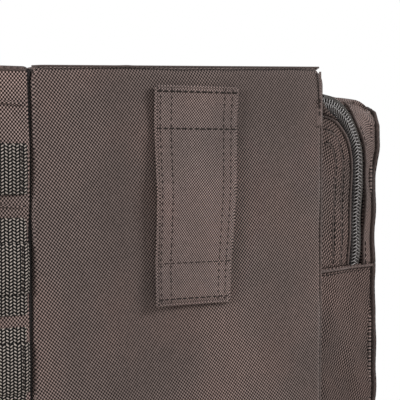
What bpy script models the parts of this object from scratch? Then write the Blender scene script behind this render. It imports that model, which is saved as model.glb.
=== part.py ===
"""Trauma backpack: clamshell main compartment, rear sleeve, front pockets, harness and waist belt.

+Z is up, the wearer faces +Y, and the wearer's left is -X. The origin is the middle of the base
that the pack stands on. Sizes are in millimetres; mesh_object turns them into metres.
"""

import math

import bmesh
import bpy

MM = 0.001
GAP = 0.3  # between pieces that touch

# Main compartment
HALF_WIDTH = 150.0
HEIGHT = 460.0
TUB_DEPTH = 164.0
TUB_FRONT = -TUB_DEPTH / 2
TUB_REAR = TUB_DEPTH / 2
TUB_WALL = 5.0
BASE_THICKNESS = 5.7
BODY_BOTTOM = BASE_THICKNESS + GAP

# Rear sleeve
SLEEVE_FRONT = TUB_REAR + GAP
SLEEVE_REAR = 126.0
SLEEVE_HALF = 149.0
SLEEVE_TOP = 458.0
SLEEVE_WALL = 3.0

# Front cover and the zip around it
COVER_THICKNESS = 3.3
COVER_REAR = TUB_FRONT - GAP
COVER_FRONT = COVER_REAR - COVER_THICKNESS
COVER_HALF = 139.7
COVER_BOTTOM = 12.3
COVER_TOP = 452.7
COVER_HINGE = (0.0, COVER_REAR - COVER_THICKNESS / 2, COVER_BOTTOM - GAP)
ZIP_HALF_BAND = 3.0
ZIP_THICKNESS = 2.5
MAIN_ZIP_SIDE = 143.0
MAIN_ZIP_TOP = 456.0
MAIN_ZIP_BOTTOM = 22.0
MAIN_ZIP_RADIUS = 12.0

# Pockets on the cover: side walls lean inwards, tops slope down to the front
POCKET_BACK = COVER_FRONT - GAP
POCKET_DEPTH = 50.0
POCKET_FRONT = POCKET_BACK - POCKET_DEPTH
POCKET_HALF = 139.0
POCKET_LEAN = math.radians(25)
POCKET_WALL = 3.0
POCKET_DROP = 5.0
POCKET_CORNER = 12.0
UPPER_BOTTOM = 215.0
UPPER_TOP = 445.0
UPPER_SEAM = 345.0
LOWER_BOTTOM = 22.0
LOWER_TOP = 175.0

# Arched zip of the upper pocket, along the side wall (L) and up (z)
ARCH_CENTRE = (1.9, 402.0)
ARCH_RADII = (36.6, 39.0)
ARCH_LEAN = 4.0
ARCH_BAND = 4.0
TOP_RUN = 8.0  # distance of the zip's top run from the cover, along the side wall

# Side grab bands
BAND_WIDTH = 47.0
BAND_REAR = TUB_REAR - 65.5
BAND_TOP = 447.2
BAND_BOTTOM = 332.6
BAND_SEWN = 22.0
BAND_BOW = 6.6
BAND_THICKNESS = 2.0

# Webbing
WEBBING = 1.6
ROW_HEIGHT = 25.4
ROW_PITCH = 50.0

# Harness
STRAP_X = 85.0
STRAP_WIDTH = 60.0
STRAP_THICKNESS = 12.0
STRAP_BEND = 24.5
STRAP_Y = 187.5
STRAP_FLARE = 12.0
YOKE_REAR = 132.2
PAD_REAR = 141.0
LUMBAR_REAR = 146.0
STERNUM_Z = 350.0
BELT_Z = 56.0
BELT_WEBBING_Y = 205.6

TAUPE = (0.105, 0.083, 0.075)
DARK = (0.02, 0.019, 0.018)


# ---------------------------------------------------------------- helpers


def clear_scene():
    for old in list(bpy.data.objects):
        bpy.data.objects.remove(old, do_unlink=True)


def material(name, colour, roughness=0.85, metallic=0.0):
    found = bpy.data.materials.get(name) or bpy.data.materials.new(name)
    found.use_nodes = True
    shader = found.node_tree.nodes["Principled BSDF"]
    shader.inputs["Base Color"].default_value = (*colour, 1.0)
    shader.inputs["Roughness"].default_value = roughness
    shader.inputs["Metallic"].default_value = metallic
    return found


LOOKS = {
    "fabric": (TAUPE, 0.9, 0.0),
    "band": ((0.14, 0.113, 0.105), 0.9, 0.0),
    "webbing": ((0.072, 0.061, 0.055), 0.8, 0.0),
    "mesh": (DARK, 0.9, 0.0),
    "loop": ((0.045, 0.04, 0.037), 1.0, 0.0),
    "coil": ((0.022, 0.022, 0.024), 0.45, 0.0),
    "plastic": (DARK, 0.4, 0.0),
    "slider": ((0.05, 0.05, 0.052), 0.35, 0.8),
    "board": ((0.03, 0.03, 0.03), 0.5, 0.0),
    "stay": ((0.6, 0.6, 0.62), 0.35, 1.0),
    "rubber": ((0.03, 0.028, 0.027), 0.75, 0.0),
}


PLACES = {}  # each pivot's place in the world


def pivot(name, place, parent=None):
    """An empty on a moving body's axis, under the body that it moves on."""
    empty = bpy.data.objects.new(name, None)
    empty.parent = parent
    start = PLACES[parent.name] if parent else (0.0, 0.0, 0.0)
    empty.location = [(value - base) * MM for value, base in zip(place, start)]
    bpy.context.collection.objects.link(empty)
    PLACES[name] = place
    return empty


def mesh_object(name, points, faces, look=None, body=None):
    """A mesh object whose origin is its body's pivot. Without a look it is a cutter."""
    origin = PLACES[body.name] if body else (0.0, 0.0, 0.0)
    mesh = bpy.data.meshes.new(name)
    local = [[(value - start) * MM for value, start in zip(point, origin)] for point in points]
    mesh.from_pydata(local, [], faces)
    shell = bmesh.new()
    shell.from_mesh(mesh)
    bmesh.ops.recalc_face_normals(shell, faces=shell.faces)
    shell.to_mesh(mesh)
    shell.free()
    mesh.shade_smooth()
    mesh.set_sharp_from_angle(angle=math.radians(32))
    made = bpy.data.objects.new(name, mesh)
    made.parent = body
    bpy.context.collection.objects.link(made)
    if look:
        mesh.materials.append(material(name, *LOOKS[look]))
    else:
        made.hide_render = True
        made.display_type = "WIRE"
    return made


def prism(name, outline, axis, low, high, look=None, body=None):
    """An outline in the two other axes, in X, Y, Z order, run from low to high along axis.

    low and high are numbers, or functions of an outline point.
    """

    def at(point, end):
        value = end(*point) if callable(end) else end
        full = list(point)
        full.insert("XYZ".index(axis), value)
        return full

    count = len(outline)
    points = [at(point, low) for point in outline] + [at(point, high) for point in outline]
    faces = [list(range(count)), list(range(count, 2 * count))]
    faces += [[i, (i + 1) % count, count + (i + 1) % count, count + i] for i in range(count)]
    return mesh_object(name, points, faces, look, body)


def box(name, low, high, look=None, body=None, soft=0.0):
    outline = [(low[0], low[1]), (high[0], low[1]), (high[0], high[1]), (low[0], high[1])]
    made = prism(name, outline, "Z", low[2], high[2], look, body)
    if soft:
        soften(made, soft)
    return made


def soften(made, width, segments=2):
    bevel = made.modifiers.new("edges", "BEVEL")
    bevel.width = width * MM
    bevel.segments = segments


def combine(made, other, operation="DIFFERENCE"):
    change = made.modifiers.new(operation.lower(), "BOOLEAN")
    change.object = other
    change.operation = operation
    change.solver = "EXACT"


def arc(centre, radius, start, end, steps):
    """Points on an arc or an elliptic arc; angles are in degrees."""
    radii = radius if isinstance(radius, tuple) else (radius, radius)
    angles = [math.radians(start + (end - start) * i / steps) for i in range(steps + 1)]
    return [(centre[0] + radii[0] * math.cos(a), centre[1] + radii[1] * math.sin(a)) for a in angles]


def rounded(low, high, low_radius, high_radius, steps=4):
    """A rectangle whose two corners at low[1] and two at high[1] have their own radii."""
    (x0, y0), (x1, y1) = low, high
    points = arc((x0 + low_radius, y0 + low_radius), low_radius, 180, 270, steps)
    points += arc((x1 - low_radius, y0 + low_radius), low_radius, 270, 360, steps)
    points += arc((x1 - high_radius, y1 - high_radius), high_radius, 0, 90, steps)
    points += arc((x0 + high_radius, y1 - high_radius), high_radius, 90, 180, steps)
    return points


def thick_path(path, thickness):
    """The closed outline of an open path with the given thickness."""
    left, right = [], []
    for i, (x, y) in enumerate(path):
        ahead = path[min(i + 1, len(path) - 1)]
        behind = path[max(i - 1, 0)]
        dx, dy = ahead[0] - behind[0], ahead[1] - behind[1]
        scale = thickness / 2 / math.hypot(dx, dy)
        left.append((x - dy * scale, y + dx * scale))
        right.append((x + dy * scale, y - dx * scale))
    return left + right[::-1]


def bar(name, start, end, width, thickness, look, body=None):
    """A flat strap from start to end. Its width runs along X, square to its length."""
    length = math.hypot(end[1] - start[1], end[2] - start[2])
    across = (0.0, -(end[2] - start[2]) / length, (end[1] - start[1]) / length)
    corners = [(-1, -1), (1, -1), (1, 1), (-1, 1)]
    points = [
        (
            x + side * width / 2,
            y + face * across[1] * thickness / 2,
            z + face * across[2] * thickness / 2,
        )
        for x, y, z in (start, end)
        for side, face in corners
    ]
    faces = [[0, 1, 2, 3], [4, 5, 6, 7]]
    faces += [[i, (i + 1) % 4, 4 + (i + 1) % 4, 4 + i] for i in range(4)]
    return mesh_object(name, points, faces, look, body)


SIDES = (("left", -1), ("right", 1))


# ---------------------------------------------------------------- main compartment


def main_tub():
    outline = rounded((-HALF_WIDTH, TUB_FRONT), (HALF_WIDTH, TUB_REAR), 4.0, 9.0)
    tub = prism("main_tub", outline, "Z", BODY_BOTTOM, HEIGHT, "fabric")
    inside = HALF_WIDTH - TUB_WALL
    low = (-inside, TUB_FRONT - 5, BODY_BOTTOM + TUB_WALL)
    hollow = box("tub_hollow", low, (inside, TUB_REAR - TUB_WALL, HEIGHT - TUB_WALL))
    combine(tub, hollow)


def base_panel():
    box("base_panel", (-140, -76, 0), (140, 120, BASE_THICKNESS), "rubber", soft=2.0)


def frame_parts():
    wall = TUB_REAR - TUB_WALL
    box("frame_sheet", (-130, wall - 2.6, 20), (130, wall - GAP, 440), "board")
    for side, sign in SIDES:
        x = sorted((sign * 50, sign * 70))
        box(f"frame_stay_{side}", (x[0], wall - 5.9, 26), (x[1], wall - 2.9, 434), "stay")


def module_pouches():
    levels = {"lower": (14, 152), "middle": (156, 294), "upper": (298, 440)}
    for level, (bottom, top) in levels.items():
        low = (-134, 10, bottom)
        box(f"module_pouch_{level}", low, (134, 70.6, top), "fabric", soft=6.0)


def rear_sleeve():
    outline = rounded((-SLEEVE_HALF, SLEEVE_FRONT), (SLEEVE_HALF, SLEEVE_REAR), 3.0, 12.0)
    sleeve = prism("rear_sleeve", outline, "Z", BODY_BOTTOM, SLEEVE_TOP, "fabric")
    inside = SLEEVE_HALF - 2 * SLEEVE_WALL
    low = (-inside, SLEEVE_FRONT + SLEEVE_WALL, BODY_BOTTOM + SLEEVE_WALL)
    combine(sleeve, box("sleeve_hollow", low, (inside, SLEEVE_REAR - SLEEVE_WALL, HEIGHT + 5)))


def webbing_rows(start, rows, outward, bottom, top):
    """Side view of webbing rows on a backing strip: points (distance from start, z)."""
    back = start + outward * 1.0
    face = back + outward * WEBBING
    points = [(start, top), (start, bottom), (back, bottom)]
    for low in sorted(rows):
        points += [(back, low), (face, low), (face, low + ROW_HEIGHT), (back, low + ROW_HEIGHT)]
    return points + [(back, top)]


def gusset_webbing():
    rows = [392 - ROW_PITCH * i for i in range(6)]
    for side, sign in SIDES:
        outline = webbing_rows(sign * (SLEEVE_HALF + GAP), rows, sign, 130, 424)
        prism(f"gusset_webbing_{side}", outline, "Y", 85.5, 114, "webbing")


def grab_bands():
    """Bands sewn flat at both ends, bowed out in the middle for the fingers."""
    steps = 8
    low, high = BAND_BOTTOM + BAND_SEWN, BAND_TOP - BAND_SEWN
    start = HALF_WIDTH + GAP + BAND_THICKNESS / 2
    for side, sign in SIDES:
        path = [(sign * start, BAND_BOTTOM)]
        for i in range(steps + 1):
            bow = BAND_BOW * math.sin(math.pi * i / steps) ** 0.8
            path.append((sign * (start + bow), low + (high - low) * i / steps))
        path.append((sign * start, BAND_TOP))
        outline = thick_path(path, BAND_THICKNESS)
        prism(f"grab_band_{side}", outline, "Y", BAND_REAR - BAND_WIDTH, BAND_REAR, "band")


# ---------------------------------------------------------------- front cover


def zip_arch(offset):
    """The main zip's line, moved outwards by offset: up one side, across the top and down."""
    side, top, radius = MAIN_ZIP_SIDE + offset, MAIN_ZIP_TOP + offset, MAIN_ZIP_RADIUS + offset
    points = [(side, MAIN_ZIP_BOTTOM)]
    points += arc((side - radius, top - radius), radius, 0, 90, 5)
    points += arc((radius - side, top - radius), radius, 90, 180, 5)
    return points + [(-side, MAIN_ZIP_BOTTOM)]


def main_zip(cover):
    halves = {"tub": (GAP / 2, ZIP_HALF_BAND, None), "cover": (-ZIP_HALF_BAND, -GAP / 2, cover)}
    for name, (inner, outer, body) in halves.items():
        outline = zip_arch(outer) + zip_arch(inner)[::-1]
        front = COVER_REAR - ZIP_THICKNESS
        prism(f"main_zip_{name}", outline, "Y", front, COVER_REAR, "coil", body)


def front_cover(cover):
    outline = rounded((-COVER_HALF, COVER_BOTTOM), (COVER_HALF, COVER_TOP), 1.0, 9.0)
    prism("front_cover", outline, "Y", COVER_FRONT, COVER_REAR, "fabric", cover)
    low = (-120, COVER_REAR + GAP, 60)
    box("cover_mesh_pocket", low, (120, COVER_REAR + 9, 330), "mesh", cover, soft=2.0)


# ---------------------------------------------------------------- pockets


def pocket_outline(bottom, top, inset=0.0):
    """Side view (y, z) of a pocket; inset makes the hollow, which is open towards the cover."""
    back = POCKET_BACK + 2 * inset
    front = POCKET_FRONT + inset
    radius = POCKET_CORNER - inset
    high, low = top - inset, bottom + inset
    fall = POCKET_DROP / POCKET_DEPTH
    corner = (front + radius, high - POCKET_DROP - radius)
    points = [(back, low), (front, low)]
    points += arc(corner, radius, 180, 96, 5)
    return points + [(back, high - fall * (POCKET_BACK - back))]


def pocket_half(y, inset=0.0):
    """Half the pocket's width at y."""
    return POCKET_HALF - (POCKET_BACK - y) * math.tan(POCKET_LEAN) - inset / math.cos(POCKET_LEAN)


def pocket_solid(name, bottom, top, inset=0.0, look=None, body=None):
    def left(y, _z):
        return -pocket_half(y, inset)

    def right(y, _z):
        return pocket_half(y, inset)

    outline = pocket_outline(bottom, top, inset)
    return prism(name, outline, "X", left, right, look, body)


def arch_line(offset):
    """The arched zip's line (y, z) from the seam up and over the top, moved outwards by offset."""
    (along, high), (wide, tall) = ARCH_CENTRE, ARCH_RADII
    exit_at = TOP_RUN + offset
    line = []
    steps = 4
    for i in range(steps):
        rise = i / steps
        lean = ARCH_LEAN * (1 - rise) ** 2
        line.append((along + wide + offset - lean, UPPER_SEAM + GAP + rise * (high - UPPER_SEAM)))
    last = math.degrees(math.acos((exit_at - along) / (wide + offset)))
    line += arc((along, high), (wide + offset, tall + offset), 0, last, 7)
    line.append((exit_at, UPPER_TOP + 20))
    return [(POCKET_BACK - length * math.cos(POCKET_LEAN), z) for length, z in line]


def arch_region(name, offset, floor):
    """Everything in front of and above the arched zip's line, as a cutter."""
    line = arch_line(offset)
    front = POCKET_FRONT - 20
    line[0] = (line[0][0], floor)
    outline = line + [(front, UPPER_TOP + 20), (front, floor)]
    return prism(name, outline, "X", -200, 200)


def upper_pocket(cover, flap):
    hollow = pocket_solid("upper_hollow", UPPER_BOTTOM, UPPER_TOP, POCKET_WALL)
    bands = {
        "upper_pocket_flap": (ARCH_BAND + GAP, None, "fabric", flap),
        "upper_zip_flap": (GAP / 2, ARCH_BAND, "coil", flap),
        "upper_zip_bucket": (-ARCH_BAND, -GAP / 2, "coil", cover),
    }
    seam = UPPER_SEAM + GAP
    for name, (start, end, look, body) in bands.items():
        piece = pocket_solid(name, UPPER_BOTTOM, UPPER_TOP, 0.0, look, body)
        combine(piece, hollow)
        combine(piece, arch_region(name + "_start", start, seam), "INTERSECT")
        if end is not None:
            combine(piece, arch_region(name + "_end", end, seam - 1))
    bucket = pocket_solid("upper_pocket_bucket", UPPER_BOTTOM, UPPER_TOP, 0.0, "fabric", cover)
    combine(bucket, hollow)
    combine(bucket, arch_region("bucket_cut", -ARCH_BAND - GAP, UPPER_SEAM))
    low = (-60, POCKET_FRONT - GAP - 2, 362)
    box("id_loop_panel", low, (60, POCKET_FRONT - GAP, 412), "loop", flap)


def pocket_top(along, top):
    """Height of a pocket's top at a distance along the side wall."""
    return top - POCKET_DROP * along * math.cos(POCKET_LEAN) / POCKET_DEPTH


def zip_y(along):
    return POCKET_BACK - along * math.cos(POCKET_LEAN)


def lower_pocket(cover):
    pocket = pocket_solid("lower_pocket", LOWER_BOTTOM, LOWER_TOP, 0.0, "fabric", cover)
    combine(pocket, pocket_solid("lower_hollow", LOWER_BOTTOM, LOWER_TOP, POCKET_WALL))
    near, far = zip_y(TOP_RUN - ARCH_BAND), zip_y(TOP_RUN + ARCH_BAND)
    slot = box("lower_slot", (-118, far - GAP, LOWER_TOP - 10), (118, near + GAP, LOWER_TOP + 5))
    combine(pocket, slot)
    high = [pocket_top(TOP_RUN + side * ARCH_BAND, LOWER_TOP) for side in (-1, 1)]
    outline = [
        (near, high[0]),
        (near, high[0] - POCKET_WALL),
        (far, high[1] - POCKET_WALL),
        (far, high[1]),
    ]
    prism("lower_zip", outline, "X", -118 + GAP, 118 - GAP, "coil", cover)
    rows = (50, 100)
    outline = webbing_rows(POCKET_FRONT - GAP, rows, -1, 40, 140)
    prism("front_webbing", outline, "X", -84, 84, "webbing", cover)


# ---------------------------------------------------------------- zip sliders and pull tabs

SLIDER_LENGTH = 13.0
SLIDER_HEIGHT = 3.2
TAB_LENGTH = 28.0
TAB_THICKNESS = 1.6
TAB_AXIS = 3.0  # from the slider's middle to the tab's hinge
TAB_END = 0.6
MAIN_MEET = 40.0
UPPER_MEET = -55.0
LOWER_PARK = 100.0
OFF_CENTRE = SLIDER_LENGTH / 2 + 1.5


def slider_and_tab(names, centre, outward, away, width, parent):
    """A slider at centre, on its zip's face, and its tab lying flat towards away along X.

    outward is the face's normal, -1 for the front (-Y) or 1 for a top (+Z). centre is on the face.
    """
    x, y, z = centre
    across, normal = (2, 1) if outward < 0 else (1, 2)

    def slab(name, start, end, near, far, half, look, body):
        low, high = [x, y, z], [x, y, z]
        low[0], high[0] = sorted((x + away * start, x + away * end))
        faces = (centre[normal] + outward * value for value in (near, far))
        low[normal], high[normal] = sorted(faces)
        low[across] -= half
        high[across] += half
        box(name, low, high, look, body)

    slider = pivot(names[0] + "_pivot", centre, parent)
    half_length = SLIDER_LENGTH / 2
    slab(names[0], -half_length, half_length, 0.0, SLIDER_HEIGHT, width / 2, "slider", slider)
    middle = SLIDER_HEIGHT + GAP + TAB_THICKNESS / 2
    hinge = [x + away * TAB_AXIS, y, z]
    hinge[normal] += outward * middle
    tab = pivot(names[1] + "_pivot", tuple(hinge), slider)
    near, far = middle - TAB_THICKNESS / 2, middle + TAB_THICKNESS / 2
    slab(names[1], TAB_AXIS - TAB_END, TAB_AXIS + TAB_LENGTH, near, far, width / 2 - 1, "plastic", tab)


def sliders(cover, flap):
    front = COVER_FRONT - GAP
    for side, sign in SIDES:
        names = (f"main_slider_{side}", f"main_pull_tab_{side}")
        centre = (MAIN_MEET + sign * OFF_CENTRE, front, MAIN_ZIP_TOP - 0.1)
        slider_and_tab(names, centre, -1, sign, 8.0, cover)
        names = (f"upper_slider_{side}", f"upper_pull_tab_{side}")
        rest = pocket_top(TOP_RUN - ARCH_BAND - 1, UPPER_TOP) + GAP
        centre = (UPPER_MEET + sign * OFF_CENTRE, zip_y(TOP_RUN), rest)
        slider_and_tab(names, centre, 1, sign, 9.0, flap)
    rest = pocket_top(TOP_RUN - ARCH_BAND - 1, LOWER_TOP) + GAP
    names = ("lower_slider", "lower_pull_tab")
    slider_and_tab(names, (LOWER_PARK, zip_y(TOP_RUN), rest), 1, -1, 9.0, cover)


# ---------------------------------------------------------------- harness


def back_panel():
    box("harness_yoke", (-118, SLEEVE_REAR + GAP, 395), (118, YOKE_REAR, 446), "fabric", soft=1.5)
    for side, sign in SIDES:
        x = sorted((sign * 14, sign * 100))
        low = (x[0], SLEEVE_REAR + GAP, 128)
        box(f"back_pad_{side}", low, (x[1], PAD_REAR, 385), "mesh", soft=6.0)
    low = (-105, SLEEVE_REAR + GAP, 26)
    box("lumbar_pad", low, (105, LUMBAR_REAR, 112), "mesh", soft=7.0)


def flare(x, z):
    """The straps spread outwards below the chest."""
    low = max(0.0, (240.0 - z) / 80.0)
    return x + math.copysign(STRAP_FLARE * low, x)


def strap_path():
    """Side view (y, z) of a shoulder strap's middle line."""
    start = STRAP_Y - 2 * STRAP_BEND
    path = [(start, 398)]
    path += arc((start + STRAP_BEND, 424), STRAP_BEND, 180, 0, 10)
    path += [(STRAP_Y, z) for z in (380, 330, 280, 240)]
    return path + [(STRAP_Y - 1.5, 215), (STRAP_Y - 5, 190), (STRAP_Y - 10, 165)]


def shoulder_straps():
    outline = thick_path(strap_path(), STRAP_THICKNESS)
    outer = STRAP_Y + STRAP_THICKNESS / 2 + GAP
    for side, sign in SIDES:
        middle = sign * STRAP_X

        def inner(_y, z):
            return flare(middle, z) - STRAP_WIDTH / 2

        def far(_y, z):
            return flare(middle, z) + STRAP_WIDTH / 2

        prism(f"shoulder_strap_{side}", outline, "X", inner, far, "fabric")
        low = (middle - 12.5, outer, 252)
        box(f"strap_webbing_{side}", low, (middle + 12.5, outer + WEBBING, 422), "webbing")
        end = flare(middle, 165)
        ladder_lock(f"ladder_lock_{side}", end, STRAP_Y - 12)
        start = (end, STRAP_Y - 16, 139)
        stop = (sign * 134, SLEEVE_REAR + 3, 98)
        bar(f"lower_strap_{side}", start, stop, 25, WEBBING, "webbing")


def ladder_lock(name, x, y):
    """A frame with a slot on each side of its middle bar."""
    lock = box(name, (x - 17, y - 3, 141), (x + 17, y + 3, 163.5), "plastic")
    for index, low in enumerate((145, 154.5)):
        combine(lock, box(f"{name}_slot_{index}", (x - 13, y - 9, low), (x + 13, y + 9, low + 5)))


def haul_handle():
    """A webbing loop between the straps, hanging from its two sewn ends."""
    hinge = pivot("haul_handle_pivot", (0, 137.6, 438))
    path = [(-48, 438), (-42, 427)]
    path += arc((0, 427), (34, 16), 200, 340, 8)
    path += [(42, 427), (48, 438)]
    prism("haul_handle", thick_path(path, 4.0), "Y", 134.4, 154.6, "webbing", hinge)


def buckle(prefix, centre, height, bodies):
    """A side-release buckle along X: a housing open to +X, and a fork that slides out of it."""
    x, y, z = centre
    half = height / 2
    low, high = (x - 24, y - 3.5, z - half), (x, y + 3.5, z + half)
    housing = box(f"{prefix}_buckle_female", low, high, "plastic", bodies[0])
    mouth = half - 3.0
    combine(housing, box(f"{prefix}_mouth", (x - 20, y - 1.8, z - mouth), (x + 5, y + 1.8, z + mouth)))
    plate = (x + GAP, y - 3.2, z - half + 1)
    fork = box(f"{prefix}_buckle_male", plate, (x + 16, y + 3.2, z + half - 1), "plastic", bodies[1])
    prong = mouth - 0.8
    tongue = box(f"{prefix}_tongue", (x - 16, y - 1.4, z - prong), (x + 2, y + 1.4, z + prong))
    notch = box(f"{prefix}_notch", (x - 20, y - 5, z - prong / 3), (x - 4, y + 5, z + prong / 3))
    combine(fork, tongue, "UNION")
    combine(fork, notch)


def sternum_strap():
    face = STRAP_Y + STRAP_THICKNESS / 2 + 2 * GAP + WEBBING
    clip_face = face + 3.6
    whole = pivot("sternum_pivot", (0, face, STERNUM_Z))
    male = pivot("sternum_male_pivot", (0, clip_face, STERNUM_Z), whole)
    for side, sign in SIDES:
        low = (sign * STRAP_X - 15, face, STERNUM_Z - 13)
        box(f"sternum_clip_{side}", low, (sign * STRAP_X + 15, clip_face, STERNUM_Z + 13), "plastic", whole)
    near, far = clip_face + GAP, clip_face + GAP + WEBBING
    z = (STERNUM_Z - 10, STERNUM_Z + 10)
    box("sternum_webbing_left", (-STRAP_X - 14, near, z[0]), (-24 - GAP, far, z[1]), "webbing", whole)
    box("sternum_webbing_right", (16 + GAP, near, z[0]), (STRAP_X + 24, far, z[1]), "webbing", male)
    buckle("sternum", (0, (near + far) / 2, STERNUM_Z), 25.0, (whole, male))


def waist_belt():
    start = LUMBAR_REAR + GAP + 6.0
    radius = 47.0
    male = pivot("belt_male_pivot", (0, BELT_WEBBING_Y, BELT_Z))
    for side, sign in SIDES:
        path = [(sign * 86, start)]
        path += [(sign * x, y) for x, y in arc((100, start + radius), radius, 270, 360, 8)]
        path.append((sign * 147, 205))
        outline = thick_path(path, 12.0)
        prism(f"waist_wing_{side}", outline, "Z", BELT_Z - 24, BELT_Z + 24, "fabric")
    near, far = BELT_WEBBING_Y, BELT_WEBBING_Y + 2.0
    z = (BELT_Z - 19, BELT_Z + 19)
    box("waist_webbing_left", (-150, near, z[0]), (-24 - GAP, far, z[1]), "webbing")
    box("waist_webbing_right", (16 + GAP, near, z[0]), (150, far, z[1]), "webbing", male)
    buckle("waist", (0, (near + far) / 2, BELT_Z), 44.0, (None, male))


def main():
    clear_scene()
    cover = pivot("cover_pivot", COVER_HINGE)
    flap = pivot("upper_flap_pivot", (0, POCKET_FRONT, UPPER_SEAM), cover)
    main_tub()
    base_panel()
    frame_parts()
    module_pouches()
    rear_sleeve()
    gusset_webbing()
    grab_bands()
    front_cover(cover)
    main_zip(cover)
    upper_pocket(cover, flap)
    lower_pocket(cover)
    sliders(cover, flap)
    back_panel()
    shoulder_straps()
    haul_handle()
    sternum_strap()
    waist_belt()


main()
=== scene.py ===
"""Dresses the trauma backpack's frame: fabric shells, webbing, zips, stitching, pads and buckles.

Sizes in the code are in millimetres, as in the frame's own source, and become metres in each mesh.
"""

import math

import bmesh
import bpy
import numpy as np
from bpy.props import FloatProperty, FloatVectorProperty, PointerProperty
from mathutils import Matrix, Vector, noise


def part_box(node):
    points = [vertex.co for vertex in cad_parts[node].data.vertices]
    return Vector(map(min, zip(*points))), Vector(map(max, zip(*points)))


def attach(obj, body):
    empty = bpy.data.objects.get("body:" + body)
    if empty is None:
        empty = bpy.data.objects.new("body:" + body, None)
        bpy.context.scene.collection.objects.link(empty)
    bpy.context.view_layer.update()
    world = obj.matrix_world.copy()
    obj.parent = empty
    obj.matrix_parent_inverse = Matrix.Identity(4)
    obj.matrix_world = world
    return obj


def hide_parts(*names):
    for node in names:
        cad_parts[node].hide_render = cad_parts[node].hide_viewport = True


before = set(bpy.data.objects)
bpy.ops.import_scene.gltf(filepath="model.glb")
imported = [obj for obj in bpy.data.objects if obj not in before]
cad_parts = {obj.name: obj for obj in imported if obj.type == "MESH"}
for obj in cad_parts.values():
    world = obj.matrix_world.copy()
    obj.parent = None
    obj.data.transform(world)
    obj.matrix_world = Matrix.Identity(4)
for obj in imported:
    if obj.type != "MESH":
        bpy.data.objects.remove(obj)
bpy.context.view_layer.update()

bl_info = {
    "name": "Trauma Backpack Looks",
    "version": (1, 0, 0),
    "blender": (4, 5, 0),
    "location": "View3D > Sidebar > Backpack",
    "description": "Builds the fabric, webbing, zips and fittings of a trauma backpack",
    "category": "Object",
}

MM = 0.001
SIDES = (("left", -1), ("right", 1))
REAR, FRONT, TOP = (0, 1, 0), (0, -1, 0), (0, 0, 1)
Y, Z = 1, 2  # axes that a soft box is thin along, or a tray opens towards


# ---------------------------------------------------------------- settings


def colour(name, description, default):
    return FloatVectorProperty(
        name=name, description=description, default=default, size=3, min=0, max=1, subtype="COLOR"
    )


def length(name, description, default):
    return FloatProperty(
        name=name, description=description, default=default, min=0, unit="LENGTH", precision=5
    )


def amount(name, description, default):
    return FloatProperty(name=name, description=description, default=default, min=0)


class FabricSettings(bpy.types.PropertyGroup):
    """Colours and weave of the cloth"""

    shell: colour("Shell", "Colour of the pack cloth", (0.0285, 0.0212, 0.0192))
    band: colour("Band", "Colour of the smooth trim cloth", (0.041, 0.031, 0.0285))
    lining: colour("Lining", "Colour of the inner cloth", (0.16, 0.15, 0.14))
    webbing: colour("Webbing", "Colour of the woven straps", (0.0185, 0.016, 0.0142))
    pitch: length("Yarn pitch", "Distance between neighbouring yarns", 0.00094)
    dent: length("Dent", "Depth of the long soft dents in the cloth", 0.0013)


class StitchSettings(bpy.types.PropertyGroup):
    """Sewing thread"""

    pitch: length("Stitch pitch", "Length of one stitch with its gap", 0.00375)
    size: length("Thread", "Half the thread's thickness", 0.00032)
    thread: colour("Thread colour", "Colour of the thread", (0.0065, 0.005, 0.0045))


class ZipSettings(bpy.types.PropertyGroup):
    """Coil zips"""

    pitch: length("Coil pitch", "Distance between neighbouring turns of a coil", 0.0021)
    reach: length("Coil width", "Width of one half of the coil", 0.0042)
    coil: colour("Coil", "Colour of the coil", (0.024, 0.0195, 0.0178))
    tape: colour("Tape", "Colour of the zip tape", (0.022, 0.02, 0.0185))


class StageSettings(bpy.types.PropertyGroup):
    """Camera, floor and lights"""

    lens: amount("Lens", "Focal length in millimetres", 88.47)
    key: amount("Key light", "Power of the main light", 34.0)
    sky: amount("Sky", "Strength of the white surroundings", 1.0)
    floor: colour("Floor", "Colour of the floor", (0.8, 0.79, 0.77))


# ---------------------------------------------------------------- shader nodes


class Wire:
    """One shader output that takes part in Python sums."""

    def __init__(self, tree, socket):
        self.tree = tree
        self.socket = socket

    def maths(self, operation, *values):
        return self.tree.node("ShaderNodeMath", {"operation": operation}, dict(enumerate(values)))

    def __add__(self, other):
        return self.maths("ADD", self, other)

    def __sub__(self, other):
        return self.maths("SUBTRACT", self, other)

    def __rsub__(self, other):
        return self.maths("SUBTRACT", other, self)

    def __mul__(self, other):
        return self.maths("MULTIPLY", self, other)

    def __truediv__(self, other):
        return self.maths("DIVIDE", self, other)

    def __rtruediv__(self, other):
        return self.maths("DIVIDE", other, self)

    def __pow__(self, other):
        return self.maths("POWER", self, other)

    __radd__ = __add__
    __rmul__ = __mul__

    def sine(self):
        return self.maths("SINE", self)

    def size(self):
        return self.maths("ABSOLUTE", self)

    def whole(self):
        return self.maths("FLOOR", self)

    def part(self):
        return self.maths("FRACT", self)

    def over(self, limit):
        return self.maths("GREATER_THAN", self, limit)

    def clear(self, low=0.0, high=1.0):
        """Smoothly 0 below low and 1 above high."""
        return self.tree.node(
            "ShaderNodeMapRange", {"interpolation_type": "SMOOTHSTEP"}, {0: self, 1: low, 2: high}
        )


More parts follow.
